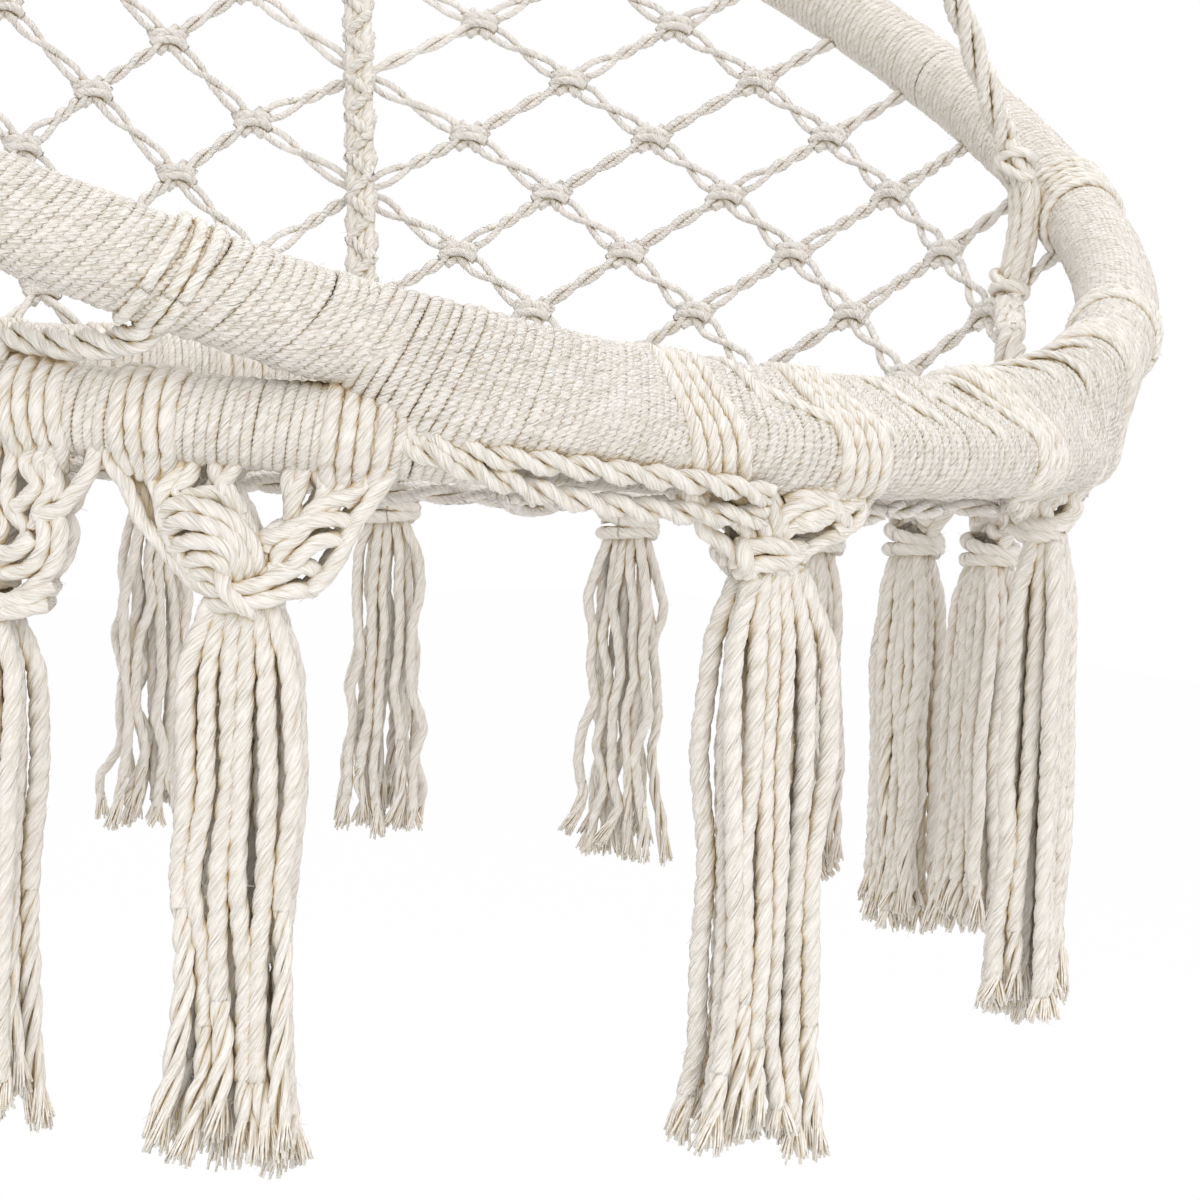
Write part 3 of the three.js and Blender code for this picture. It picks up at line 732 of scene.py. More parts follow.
def addSuspension(name, ropeAngle, strapAngle, halfWidth):
    look = ropeLook
    rng = np.random.default_rng(30 + int(abs(ropeAngle)))
    outer = backOutward(ropeAngle)
    front = -outer
    side = unit(np.cross(upward, front))
    foot = backPoint(ropeAngle) - outer * (backRing["wrap"] + look["clear"])
    start = np.array([
        np.sign(foot[0]) * look["topOut"], hangBack + np.sign(foot[1] - hangBack) * look["topOut"],
        hangHeight + crownTop - crownLength,
    ])
    way = unit(start - foot)
    blockTop = foot + way * look["rise"]
    blockEnd = foot - upward * look["drop"] - seatOutward(float(ropeAngle)) * 4
    rope = Weave()
    path = [start + way * 20, (start + blockTop) / 2, blockTop + way * 6, blockTop - way * 8]
    twistedRope(rope, spline(path, look["steps"]), look["cord"], look["spread"], look["pitch"], 3, 31)
    rope.piece(f"suspension_rope_{name}", "cords", "rope_cotton")
    strap = Weave()
    bundle = []
    for across, depth in look["bundle"]:
        bow = side * across * (1 + look["bow"] * rng.normal()) + front * depth
        bundle.append(spline([
            blockTop + way * 9 + side * across * 0.55 + front * depth * 0.6,
            foot + way * 8 + bow,
            foot - upward * 12 + bow,
            blockEnd + side * across * 0.6 + front * depth,
        ], 70))
    strap.cords(bundle, look["blockCord"], look["blockLay"], "rope", 33)
    gather = loopsRound(blockTop - way * 3, side, front, ((1, 0.5), (-1, -0.45)), 9.5, 7.5)
    gather += loopsRound(blockEnd + upward * 3, side, front, ((2.5, -0.4), (-2, 0.35)), 8.5, 7.5)
    for shift in look["hitches"]:
        reach = backRing["wrap"] + look["stand"] + look["standSpread"] * rng.normal()
        gather.append(hitchRound(ropeAngle + shift, outer, look["sway"], 0, reach))
    strap.cords(gather, look["gatherCord"], look["gatherLay"], "rope", 34)
    if abs(ropeAngle) < 90:
        # a thick cord takes the last of the net up to the block
        toward = ruled(math.copysign(look["netEnd"][0], ropeAngle), look["netEnd"][1])
        line = spline([blockEnd + upward * 6, blockEnd - upward * 3, (blockEnd + toward) / 2, toward], 90)
        twistedRope(strap, line, look["netCord"], look["netSpread"], look["netPitch"], 3, 36)
    bottom = seatPoint(float(strapAngle), 0, seatRing["wrap"] + 1)
    landing = bottom + upward * look["landing"]
    knee = blockEnd + (landing - blockEnd) * look["knee"]
    band = spline([blockEnd + upward * 8, blockEnd - upward * 4, knee, landing, bottom - upward * 2], 220)
    sinnet(strap, band, front, halfWidth, look["strapCord"], look["knotHeight"], 35)
    strap.piece(f"seat_strap_{name}", "knots", "rope_cotton")


for cornerName, cornerLook in corners.items():
    addSuspension(cornerName, *cornerLook)


# The crown: two ropes bend over the ring's wire, and a whipping holds all four ends
crownLook = {
    "across": 6.3, "bend": 12.2, "lift": 0.7, "cord": 2.9, "spread": 3.1, "pitch": 40.0,
    "whipTurn": 4.4, "whipSteps": 40, "whipRadius": 15.4, "whipCord": 2.5, "whipLay": 13.0,
    "coreRadius": 13.6, "coreLay": 30.0,
}


def addCrown(look):
    crown = Weave()
    bend = look["bend"]
    for across in (-look["across"], look["across"]):
        over = [(across, bend * math.cos(turn), wireBottom + look["lift"] + bend * math.sin(turn))
                for turn in np.linspace(np.pi, 0, 9)]
        knots = [(across * 0.8, -11, crownTop - 14), (across, -bend, crownTop - 2), *over,
                 (across, bend, crownTop - 2), (across * 0.8, 11, crownTop - 14)]
        path = spline(np.array(knots) + chairOrigin, 90)
        twistedRope(crown, path, look["cord"], look["spread"], look["pitch"], 3, 41)
    turns = int(crownLength / look["whipTurn"])
    share = np.linspace(0, 1, turns * look["whipSteps"])[:, None]
    turn = fullTurn * turns * share
    normals = np.hstack([np.cos(turn), np.sin(turn), 0 * turn])
    path = normals * look["whipRadius"] + upward * (crownTop - 2.5 - share * (crownLength - 5)) + chairOrigin
    crown.cords(path, look["whipCord"], look["whipLay"], "whipping", 42, normals=normals[None])
    core = (upward * (crownTop - 3 - share * (crownLength - 6)) + chairOrigin)[::look["whipSteps"]]
    crown.cords(core, look["coreRadius"], look["coreLay"], "core", 43)
    crown.piece("rope_crown", "cords", "rope_cotton")


addCrown(crownLook)

ringLook = {
    "around": 96, "sides": 24, "radius": 35, "wire": 5.0, "centre": -30, "weld": 0.10, "weldWidth": 0.07,
}


def addHangingRing(look):
    big, small = (fullTurn * np.arange(look[name]) / look[name] for name in ("around", "sides"))
    weld = 1 + look["weld"] * np.exp(-((big - np.pi) / look["weldWidth"]) ** 2)
    wire = look["wire"] * weld[:, None] * np.ones((len(big), len(small)))
    reach = look["radius"] + wire * np.cos(small)
    points = np.stack([
        reach * np.sin(big)[:, None], wire * np.sin(small), look["centre"] + reach * np.cos(big)[:, None],
    ], axis=-1)
    grid = np.arange(len(big) * len(small)).reshape(len(big), len(small))
    ahead, beyond = np.roll(grid, -1, axis=0), np.roll(grid, -1, axis=1)
    quads = np.stack([grid, ahead, np.roll(ahead, -1, axis=1), beyond], axis=-1).reshape(-1, 4)
    data = {"points": points.reshape(-1, 3) + chairOrigin, "quads": quads}
    meshPiece("hanging_ring", "bar", data, "ring_steel", "hanging_ring")


addHangingRing(ringLook)
for tubeName in ("back_ring_tube", "seat_ring_tube"):
    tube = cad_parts[tubeName]
    tube.data.materials.clear()
    tube.data.materials.append(materials["tube_steel"])
print("ropes and crown ready")


# Net: two cords twist between each pair of knots, with an eye beside some knots
netLook = {
    "cord": 1.95, "lay": 12.0, "fuzz": 0.06, "tight": 1.75, "steps": 34,
    "eye": 3.8, "eyeAt": (0.25, 0.76), "eyeWidth": 0.11, "eyeMost": 1.3,
    "knot": 1.22, "knotRise": 2.3, "knotAcross": 1.9, "knotTilt": (0.8, 1.2),
    "seatClear": 18, "backClear": 21, "seatEnd": 14.0, "backEnd": 17.0, "least": 30,
    "eyeSize": (0.75, 1.1), "secondEye": (0.6, 1.0), "twinEyes": 0.5, "twinTurns": 3, "rows": 14,
}
netPanels = {
    "right_front": (0, 4), "right_rear": (4, 9), "middle_right": (9, 14),
    "middle_left": (14, 19), "left_rear": (19, 24), "left_front": (24, 28),
}


def netPair(first, last, normal, eyes, turns):
    look = netLook
    share = np.linspace(0, 1, look["steps"])
    line = first + (last - first) * share[:, None]
    side = unit(np.cross(last - first, normal))
    lower, upper = (
        size * np.exp(-((share - at) / look["eyeWidth"]) ** 2) for size, at in zip(eyes, look["eyeAt"]))
    # the cords cross only in the stretch between the eyes
    stretch = (0.02, 0.98) if not eyes[1] else (0.36, 0.64) if eyes[0] else (0.04, 0.62)
    swing = np.pi * turns * np.interp(share, stretch, [0, 1])
    across = look["tight"] + (look["eye"] - look["tight"]) * np.clip(lower + upper, 0, look["eyeMost"])
    offset = (across * np.cos(swing))[:, None] * side + (look["tight"] * np.sin(swing))[:, None] * normal
    return [line + offset, line - offset]


def netKnot(centre, vertical, normal, rng):
    side = unit(np.cross(vertical, normal))
    lines = []
    for turned in (1, -1):
        tilt = rng.uniform(*netLook["knotTilt"])
        for rise in (netLook["knotRise"], -netLook["knotRise"]):
            lines.append([
                (-8.0 * turned, 3.2 * tilt, -0.5), (-3.5 * turned, rise * 0.9, 2.6),
                (1.5 * turned, rise * 0.5, 3.4), (6.0 * turned, -rise * 0.2, 1.0),
                (5.0 * turned, -rise * 0.8, -2.2), (-2.0 * turned, -rise * 0.6, -3.0),
                (-7.5 * turned, -3.4 * tilt, -0.5),
            ])
    for across in (-netLook["knotAcross"], netLook["knotAcross"]):
        lines.append([(across * 2.2, 6.5, 0), (across, 3, 0.6), (across, -3, 0.6), (across * 2.2, -6.5, 0)])
    size = netLook["knot"]
    return [spline(placed(np.array(line) * size, centre, side, vertical, normal), 34) for line in lines]


def ringDistance(point, pointAt, near):
    return np.linalg.norm(pointAt(near + np.linspace(-14, 14, 113)) - point, axis=1).min()


def isClear(point, near, fromSeat, fromBack):
    return (ringDistance(point, seatPoint, near) > netLook[fromSeat]
            and ringDistance(point, backPoint, near) > netLook[fromBack])


def netNormal(angle, share):
    along = ruled(angle + 0.5, share) - ruled(angle - 0.5, share)
    rise = ruled(angle, share + 0.01) - ruled(angle, share - 0.01)
    return unit(np.cross(along, rise))


def clipToRing(inner, outer, middle):
    share = 0.05
    while share < 1 and isClear(inner + (outer - inner) * share, middle, "seatEnd", "backEnd"):
        share += 0.02
    return inner + (outer - inner) * share


def netPlaces():
    # Angle, share of the height, point, and whether a knot stands clear of both rings
    places = {}
    for m in range(netLast + 1):
        angle = netColumn(m)
        for n in range(1 - m % 2, netLook["rows"], 2):
            share = netLevel(m, n) / ruled(angle, 1)[2]
            point = ruled(angle, share)
            inside = 0 < share < 1 and isClear(point, angle, "seatClear", "backClear")
            places[m, n] = (angle, share, point, inside)
    return places


def addBackNet(look):
    places = netPlaces()
    straps = (0, netShape["side"], netLast - netShape["side"], netLast)
    rng = np.random.default_rng(51)
    for name, (start, end) in netPanels.items():
        pairs, knots = [], []
        for (m, n), (angle, share, point, inside) in places.items():
            if not start <= m < end:
                continue
            if inside and m not in straps:
                vertical = unit(ruled(angle, 1) - ruled(angle, 0))
                knots += netKnot(point, vertical, netNormal(angle, share), rng)
            for n2 in (n + 1, n - 1):
                angle2, share2, last, inside2 = places.get((m + 1, n2), (0, 0, None, False))
                if last is None or not (inside or inside2):
                    continue
                first, middle = point, (angle + angle2) / 2
                if not inside2:
                    last = clipToRing(first, last, middle)
                if not inside:
                    first = clipToRing(last, first, middle)
                normal = netNormal(middle, (share + share2) / 2)
                wide = rng.uniform(*look["eyeSize"])
                twin = n2 < n if m < netLast / 2 else n2 > n
                if np.linalg.norm(last - first) < look["least"]:
                    eyes, turns = (0, 0), 1
                elif twin:
                    eyes, turns = (0, wide if rng.random() < look["twinEyes"] else 0), look["twinTurns"]
                else:
                    eyes, turns = (wide, rng.uniform(*look["secondEye"])), 1
                pairs += netPair(first, last, normal, eyes, turns)
        net = Weave()
        net.cords(pairs, look["cord"], look["lay"], "fine", 52, fuzz=look["fuzz"])
        net.cords(knots, look["cord"] * look["knot"], look["lay"], "fine", 53, fuzz=look["fuzz"])
        net.piece(f"back_net_{name}", "cords", "net_cotton")


addBackNet(netLook)

seatNetLook = {
    "pitch": 40.0, "rim": 288.0, "drop": 19.0, "sag": 12.0, "columns": 8, "eyes": (1.0, 0.8),
    "lay": 11.0, "knot": 1.1, "knotLay": 12.0, "fuzz": 0.05,
}


def addSeatNet(look):
    def place(m, n):
        spot = np.array([m, n]) * look["pitch"]
        reach = math.hypot(*spot)
        if reach > look["rim"]:
            spot, reach = spot * look["rim"] / reach, look["rim"]
        return np.array([*spot, -look["drop"] - look["sag"] * (1 - (reach / look["rim"]) ** 2)])

    def isInside(m, n):
        return math.hypot(m, n) * look["pitch"] < look["rim"]

    pairs, knots = [], []
    rng = np.random.default_rng(61)
    span = look["columns"]
    for m in range(-span, span + 1):
        for n in range(-span + 1 - m % 2, span + 1, 2):
            for n2 in (n - 1, n + 1):
                if isInside(m, n) or isInside(m + 1, n2):
                    eyes, turns = (look["eyes"], 1) if n2 > n else ((0, 0), netLook["twinTurns"])
                    pairs += netPair(place(m, n), place(m + 1, n2), upward, eyes, turns)
            if isInside(m, n):
                knots += netKnot(place(m, n), np.array([0.0, 1.0, 0.0]), upward, rng)
    net = Weave()
    net.cords(pairs, netLook["cord"], look["lay"], "fine", 62, fuzz=look["fuzz"])
    net.cords(knots, netLook["cord"] * look["knot"], look["knotLay"], "fine", 63, fuzz=look["fuzz"])
    net.piece("seat_net", "cords", "net_cotton")


addSeatNet(seatNetLook)

edgeLook = {
    "top": 38.0, "bottom": 62.0, "hang": 25, "rest": 21.6, "steps": 90, "cord": 2.6, "spread": 2.9,
    "pitch": 42.0, "hitchAt": 37.0, "hitches": (-0.8, 0, 0.8), "sway": 0.7, "stand": 0.1,
    "standSpread": 0.2, "hitchCord": 2.3, "hitchLay": 20.0,
}


def addEdgeRope(name, side, look):
    rng = np.random.default_rng(70 + side)
    start = backPoint(side * look["top"]) - upward * look["hang"]
    end = seatPoint(side * look["bottom"], 0, look["rest"])
    rope = Weave()
    path = spline([
        start + upward * 20, start + upward * 4, (start + end) / 2 - upward, end, end - upward * 8,
    ], look["steps"])
    twistedRope(rope, path, look["cord"], look["spread"], look["pitch"], 3, 71)
    hitches = []
    for shift in look["hitches"]:
        angle, begin = side * (look["hitchAt"] + shift), rng.uniform(-0.5, 0.5)
        reach = backRing["wrap"] + look["stand"] + look["standSpread"] * rng.normal()
        hitches.append(hitchRound(angle, backOutward(angle), look["sway"], begin, reach))
    rope.cords(hitches, look["hitchCord"], look["hitchLay"], "filler", 72)
    rope.piece(f"net_edge_rope_{name}", "cords", "rope_cotton")


addEdgeRope("left", -1, edgeLook)
addEdgeRope("right", 1, edgeLook)
print("nets ready")


# Tassels: angle, half spread of the arms in degrees, drop of the knot, drop of the ends
tassels = [
    (-10.5, 7, 42, 241), (29, 17, 36, 226), (67, 5.1, 54, 232), (79.5, 5.2, 56, 240),
    (92.5, 5.5, 62, 233), (113.5, 9, 66, 238), (138, 9, 68, 238), (161, 9, 62, 240),
    (184, 9, 62, 236), (207, 9, 60, 242), (229, 9, 62, 238), (250, 9, 58, 240),
    (271, 9, 60, 237), (297, 6.2, 58, 240), (314.5, 9, 60, 247),
]
leanWay = np.array([0.727, -0.687, 0.0])
towardsCamera = np.array([-0.687, -0.727, 0.0])
# How far the gathering knots are raised, most of them as usual
usualRise = 3.0
raised = {1: 11.0, 2: 10.0, 14: 1.0, 15: 11.0}

# Cords of the four nearest heads: millimetres sideways, upwards and outwards from the gathering knot
headCords = {
    1: [
        [(-16, 11, 2), (-15, 15, 7), (-8, 16, 9), (0, 15, 8), (9, 12, 3)],
        [(-15, 6, 2), (-13, 9, 8), (-6, 10, 9), (3, 11, 7), (10, 15, 3)],
        [(-16, 17, 5), (-18, 12, 10), (-13, 6, 6)],
        [(-30, 34, 3), (-24, 36, 6), (-16, 36, 7), (-9, 31, 7), (-5, 24, 7), (-4, 17, 6)],
        [(-31, 31, 3), (-26, 33, 7), (-20, 31, 8), (-13, 25, 8), (-9, 20, 7), (-8, 15, 6)],
        [(-32, 27, 3), (-28, 28, 6), (-22, 25, 7), (-16, 21, 6), (-13, 15, 5)],
        [(-32, 24, 2), (-29, 19, 3), (-22, 16, 3), (-18, 12, 4), (-17, 8, 4)],
        [(-44, 45, 4), (-44, 38, 7), (-40, 30, 7), (-32, 25, 4), (-26, 22, 3)],
        [(-38, 48, 3), (-41, 39, 7), (-40, 32, 8), (-33, 28, 5)],
        [(-30, 41, 4), (-31, 35, 4), (-35, 30, 6), (-33, 27, 4)],
        [(-24, 39, 3), (-17, 38, 4), (-9, 36, 4), (-4, 31, 4), (-2, 26, 5)],
        [(19, 45, 3), (21, 38, 6), (18, 33, 7), (9, 31, 8), (1, 28, 8), (-2, 24, 7), (0, 18, 5)],
        [(29, 46, 3), (31, 38, 4), (30, 31, 5), (20, 28, 7), (9, 26, 8), (2, 22, 7), (-2, 17, 5)],
        [
            (5, 36, 3), (14, 36, 6), (22, 34, 6), (32, 30, 4), (32, 25, 4), (25, 20, 4), (15, 16, 4),
            (8, 11, 4),
        ],
        [(1, 30, 4), (7, 33, 7), (18, 30, 7), (26, 24, 5), (23, 21, 4)],
        [(1, 24, 5), (6, 23, 8), (16, 25, 6), (22, 31, 4)],
    ],
    2: [
        [(-5, 43, 4), (2, 44, 7), (9, 42, 8), (10, 36, 8), (6, 29, 7), (0, 21, 6), (-5, 14, 5)],
        [(-13, 41, 5), (-14, 34, 9), (-12, 28, 9), (-7, 24, 8), (-6, 18, 7), (-9, 12, 5)],
        [(6, 41, 3), (14, 44, 4), (18, 39, 4), (17, 33, 3), (11, 27, 3), (8, 20, 3), (5, 13, 3)],
        [(-19, 39, 3), (-17, 34, 6), (-17, 27, 5), (-16, 20, 5), (-12, 14, 4), (-7, 10, 4)],
        [(-5, 41, 7), (-1, 35, 10), (-2, 29, 10), (-7, 26, 10), (-10, 21, 8)],
        [(2, 39, 8), (5, 33, 10), (1, 27, 9), (-3, 21, 9), (-1, 15, 7)],
        [(-10, 43, 6), (-9, 36, 10), (-7, 30, 10), (0, 27, 9), (4, 22, 6)],
        [(12, 34, 3), (7, 25, 4), (10, 19, 3), (5, 11, 3)],
        [(-14, 10, 2), (-7, 8, 8), (-1, 10, 9), (7, 14, 4)],
        [(-12, 15, 4), (-3, 13, 9), (5, 15, 6), (8, 18, 2)],
    ],
    14: [
        [(40, 59, 3), (42, 50, 3), (40, 42, 4), (36, 36, 5), (33, 31, 7), (24, 27, 7)],
        [(25, 62, 3), (27, 54, 5), (24, 45, 6), (29, 38, 6), (25, 30, 6), (23, 23, 6)],
        [(31, 61, 3), (30, 54, 5), (27, 46, 5), (29, 39, 5), (32, 33, 6)],
        [(16, 58, 4), (21, 51, 5), (19, 44, 6), (23, 37, 6), (15, 29, 5)],
        [(10, 56, 4), (13, 46, 5), (12, 38, 5), (13, 29, 5), (20, 22, 5), (16, 15, 5), (10, 10, 4)],
        [(30, 30, 5), (33, 22, 7), (31, 13, 6), (24, 5, 5), (17, 0, 5)],
        [(26, 27, 7), (28, 20, 8), (24, 12, 7), (15, 8, 6), (6, 8, 5)],
        [(24, 21, 8), (19, 16, 9), (10, 14, 8), (1, 17, 5)],
        [(3, 55, 4), (6, 46, 5), (2, 39, 5), (6, 30, 6), (11, 23, 6), (9, 16, 6)],
        [(-5, 55, 3), (-6, 46, 4), (-2, 38, 4), (-4, 29, 5), (-2, 20, 5), (4, 12, 5)],
        [(-18, 54, 3), (-19, 45, 3), (-15, 36, 4), (-11, 27, 4), (-6, 18, 4), (-2, 9, 4), (4, 2, 4)],
        [(29, 5, 3), (23, 1, 8), (13, -1, 9), (4, -1, 7), (-3, 1, 3)],
        [(27, -1, 3), (21, -3, 8), (11, -5, 8), (1, -5, 4)],
    ],
    15: [
        [
            (26, 17, 2), (20, 20, 6), (13, 17, 9), (5, 13, 10), (-3, 11, 10), (-11, 11, 7),
            (-16, 15, 3), (-19, 17, 0),
        ],
        [(22, 12, 2), (17, 12, 7), (9, 9, 10), (1, 7, 10), (-5, 6, 8), (-10, 6, 4)],
        [(-7, 18, 8), (-5, 14, 12), (-3, 10, 13), (2, 6, 11), (5, 4, 6)],
        [(47, 57, 3), (44, 50, 4), (39, 41, 5), (35, 35, 5), (32, 27, 5), (28, 19, 5), (22, 12, 4)],
        [(42, 57, 2), (39, 49, 3), (33, 44, 5), (26, 41, 7), (21, 37, 7), (18, 30, 6)],
        [
            (15, 64, 3), (14, 55, 4), (13, 47, 4), (15, 39, 4), (17, 33, 5), (16, 27, 6), (12, 20, 6),
            (6, 16, 6),
        ],
        [(19, 63, 3), (18, 55, 5), (17, 48, 4), (15, 40, 5), (14, 33, 4), (9, 30, 6), (7, 24, 6)],
        [
            (22, 59, 4), (22, 51, 3), (25, 45, 4), (23, 39, 6), (19, 34, 8), (12, 30, 8), (6, 27, 6),
            (6, 19, 5),
        ],
        [(29, 59, 3), (29, 52, 4), (30, 47, 4), (28, 41, 5), (24, 34, 6)],
        [(35, 35, 4), (27, 36, 8), (21, 34, 9), (17, 29, 9), (12, 24, 8), (11, 19, 6)],
        [(33, 29, 3), (26, 29, 8), (20, 25, 9), (16, 20, 8), (9, 18, 7)],
        [(38, 65, 3), (34, 59, 5), (34, 52, 4), (37, 48, 4), (31, 41, 4)],
        [
            (-47, 58, 3), (-45, 49, 3), (-39, 41, 3), (-34, 31, 3), (-28, 25, 4), (-21, 17, 4),
            (-15, 12, 4), (-10, 10, 5),
        ],
        [(-33, 51, 2), (-31, 44, 3), (-28, 39, 4), (-27, 34, 5), (-24, 27, 6), (-20, 21, 6), (-15, 14, 5)],
        [(-21, 51, 2), (-24, 45, 5), (-27, 40, 6), (-27, 36, 5), (-25, 30, 5)],
        [
            (-18, 51, 3), (-19, 46, 5), (-22, 41, 6), (-18, 40, 6), (-10, 41, 6), (-5, 38, 6),
            (0, 32, 6), (4, 25, 6),
        ],
        [(-11, 53, 3), (-10, 47, 4), (-6, 42, 5), (-3, 38, 5), (1, 31, 5), (4, 23, 5), (6, 17, 5)],
        [(-4, 54, 4), (-5, 49, 5), (-8, 44, 6), (-4, 39, 6), (-1, 35, 6)],
        [(-27, 32, 4), (-22, 37, 9), (-13, 37, 12), (-4, 34, 13), (2, 28, 11), (5, 21, 8), (5, 16, 5)],
        [(-26, 27, 4), (-20, 32, 11), (-12, 32, 14), (-4, 29, 14), (1, 22, 11), (2, 16, 7)],
        [(-23, 23, 5), (-16, 26, 12), (-7, 26, 15), (-2, 22, 13), (-1, 15, 8)],
        [(-19, 18, 5), (-12, 21, 11), (-6, 20, 13), (-4, 15, 9)],
        [(-16, 15, 5), (-10, 16, 9), (-5, 14, 9)],
    ],
}


def beside(angle, side, out, height):
    return seatPoint(angle + math.degrees(side / seatRing["radius"]), out, height)


hitchLook = {
    "steps": 61, "points": 76, "sink": 0.8, "turn": (235, -48),
    "lashedStand": 4.8, "lashedBegin": -70.0, "lashedPoints": 81, "lashedPart": 68,
}


def overRing(angle, side, lean, lashed, finish):
    # One cord from behind the ring over its top and down its front, to a point below it
    look = hitchLook
    azimuth = angle + np.degrees(np.linspace(side + lean, side, look["steps"]) / seatRing["radius"])
    if lashed:
        middle, part = float(azimuth[look["steps"] // 2]), look["lashedPart"]
        section = hullOutline(middle, look["lashedStand"], look["lashedPoints"], look["lashedBegin"])
        section = resample(section[:part], look["steps"], np.arange(float(part)), part - 1, 0)
    else:
        turn = np.radians(np.linspace(*look["turn"], look["steps"]))
        reach = seatRing["wrap"] - look["sink"]
        section = np.stack([seatRing["radius"] + reach * np.cos(turn), reach * np.sin(turn)], axis=1)
    points = sectionToChair(azimuth, section[:, :2])
    return spline(np.vstack([points[::3], finish]), look["points"])


def tasselFrame(tassel):
    angle, spread, drop, _ = tassel
    out = seatOutward(float(angle))
    centreOut = seatRing["radius"] * (math.cos(math.radians(0.8 * spread)) - 1) + 2
    return beside(angle, 0, centreOut, -drop - 4.0), out, np.cross(upward, out), centreOut


knotLook = {
    "cord": 3.5, "lay": 24.0, "lashed": (-18, 40), "hitchCord": 0.86,
    "top": 0.70, "lashedTop": 0.78, "slope": (-9, 9), "lashedSlope": (-20, -13),
    "spots": (-5.4, 0, 5.4), "wideSpots": (-8.1, -2.7, 2.7, 8.1), "wideReach": 30,
    "armCord": 0.88, "armWidth": 7.6, "armReach": 36, "armTaper": (1.1, 0.8), "armSteps": 100,
    "armKnot": 10.0,
    "drawnCord": (0.78, 0.92), "drawnLay": 26.0, "behind": 0.9,
    "gatherCord": 0.95, "gatherWidth": 13.5, "gatherDepth": 10.0,
}


def armCords(knot, number, tassel, side, centre):
    # An arm of square knots, and a loose cord outside it
    look = knotLook
    angle, spread, _, _ = tassel
    _, out, along, centreOut = tasselFrame(tassel)
    reach = math.radians(spread) * seatRing["radius"]
    top = side * reach * look["top"]
    armTop = beside(angle, top, 2.5, -seatRing["wrap"] - 5.0)
    middle = beside(angle, top * 0.66, centreOut * 0.5 + 3, (centre[2] - 20) / 2 + 2)
    axis = [armTop + upward * 7, armTop, middle, centre + along * side * 6 + upward * 7]
    wide = look["armWidth"] * min(1.0, reach / look["armReach"])
    sinnet(
        knot, spline(axis, look["armSteps"]), out, wide, look["cord"] * look["armCord"], look["armKnot"],
        800 + 10 * number + side, np.linspace(*look["armTaper"], look["armSteps"]),
    )
    return spline([
        beside(angle, side * reach, 3.5, -seatRing["wrap"] - 1.0),
        beside(angle, side * reach * 0.9, centreOut * 0.3 + 4, (centre[2] - 14) * 0.5),
        centre + along * (side * 15.0) + upward * 8,
        centre + along * (side * 12.0),
    ], hitchLook["points"])


def addTasselKnot(number, tassel):
    look = knotLook
    angle, spread, _, _ = tassel
    reach = math.radians(spread) * seatRing["radius"]
    lashed = look["lashed"][0] < angle < look["lashed"][1]
    rng = np.random.default_rng(80 + number)
    centre, out, along, _ = tasselFrame(tassel)
    knot = Weave()
    gatherAt = centre + upward * raised.get(number, usualRise)
    hitches = []
    for side in (-1, 1):
        top = side * reach * look["lashedTop" if lashed else "top"]
        slope = rng.uniform(*look["lashedSlope" if lashed else "slope"])
        for spot in look["wideSpots" if reach > look["wideReach"] else "spots"]:
            below = rng.uniform(1, 4), -seatRing["wrap"] - rng.uniform(2, 7)
            finish = beside(angle, top + spot * 0.7, *below)
            hitches.append(overRing(angle, top + spot, slope + rng.uniform(-1.2, 1.2), lashed, finish))
        if number not in headCords:
            hitches.append(armCords(knot, number, tassel, side, gatherAt))
    knot.cords(hitches, look["cord"] * look["hitchCord"], look["lay"], "knotted", 900 + number)
    across, facing = (leanWay, towardsCamera) if number == 2 else (along, out)
    drawn = []
    for path in headCords.get(number, []):
        drawn.append(spline(placed(path, centre, across, upward, facing), 76))
        # its fellow behind gives the head its thickness
        behind = placed(path, centre, across * look["behind"], upward, -facing * look["behind"])
        drawn.append(spline(behind, 76))
    if drawn:
        sizes = look["cord"] * rng.uniform(*look["drawnCord"], (len(drawn), 1))
        phase = rng.uniform(0, 6, len(drawn))
        knot.cords(drawn, sizes, look["drawnLay"], "knotted", 940 + number, phase)
    width, depth = look["gatherWidth"], look["gatherDepth"]
    if number in headCords:
        lifts = (3.2, 0.1), (-2.8, -0.1)
        loops = loopsRound(gatherAt - out * 2, along, out, lifts, width * 0.8, depth * 0.7)
    else:
        loops = loopsRound(gatherAt, along, out, ((3.4, 0.14), (-3.2, -0.12)), width, depth)
        loops.append(spline([
            gatherAt - along * width * 0.9 + out * 3 - upward * 4,
            gatherAt - along * 4 + out * (depth + 2.2) - upward * 1.5,
            gatherAt + along * 5 + out * (depth + 2.4) + upward * 2,
            gatherAt + along * width * 0.8 + out * 3 + upward * 6,
        ], 64))
    knot.cords(loops, look["cord"] * look["gatherCord"], look["lay"], "knotted", 950 + number)
    knot.piece(f"tassel_knot_{number:02d}", "cords", "knot_cotton")


# Skirts: half width and half depth at shares of the length, and rows of strands as place, count and fill
skirtShape = {
    "share": [0, 0.04, 0.11, 0.3, 0.6, 0.85, 1],
    "wide": [9, 11.5, 15.5, 17.5, 16.5, 17.5, 20.5],
    "deep": [4.5, 5.5, 8, 9.5, 9.5, 10, 12],
    "rows": [(0.85, 6, 1.0), (0.0, 5, 0.84), (-0.85, 6, 1.0)],
    "marks": 7, "wander": 1.0, "cord": 1.0,
}
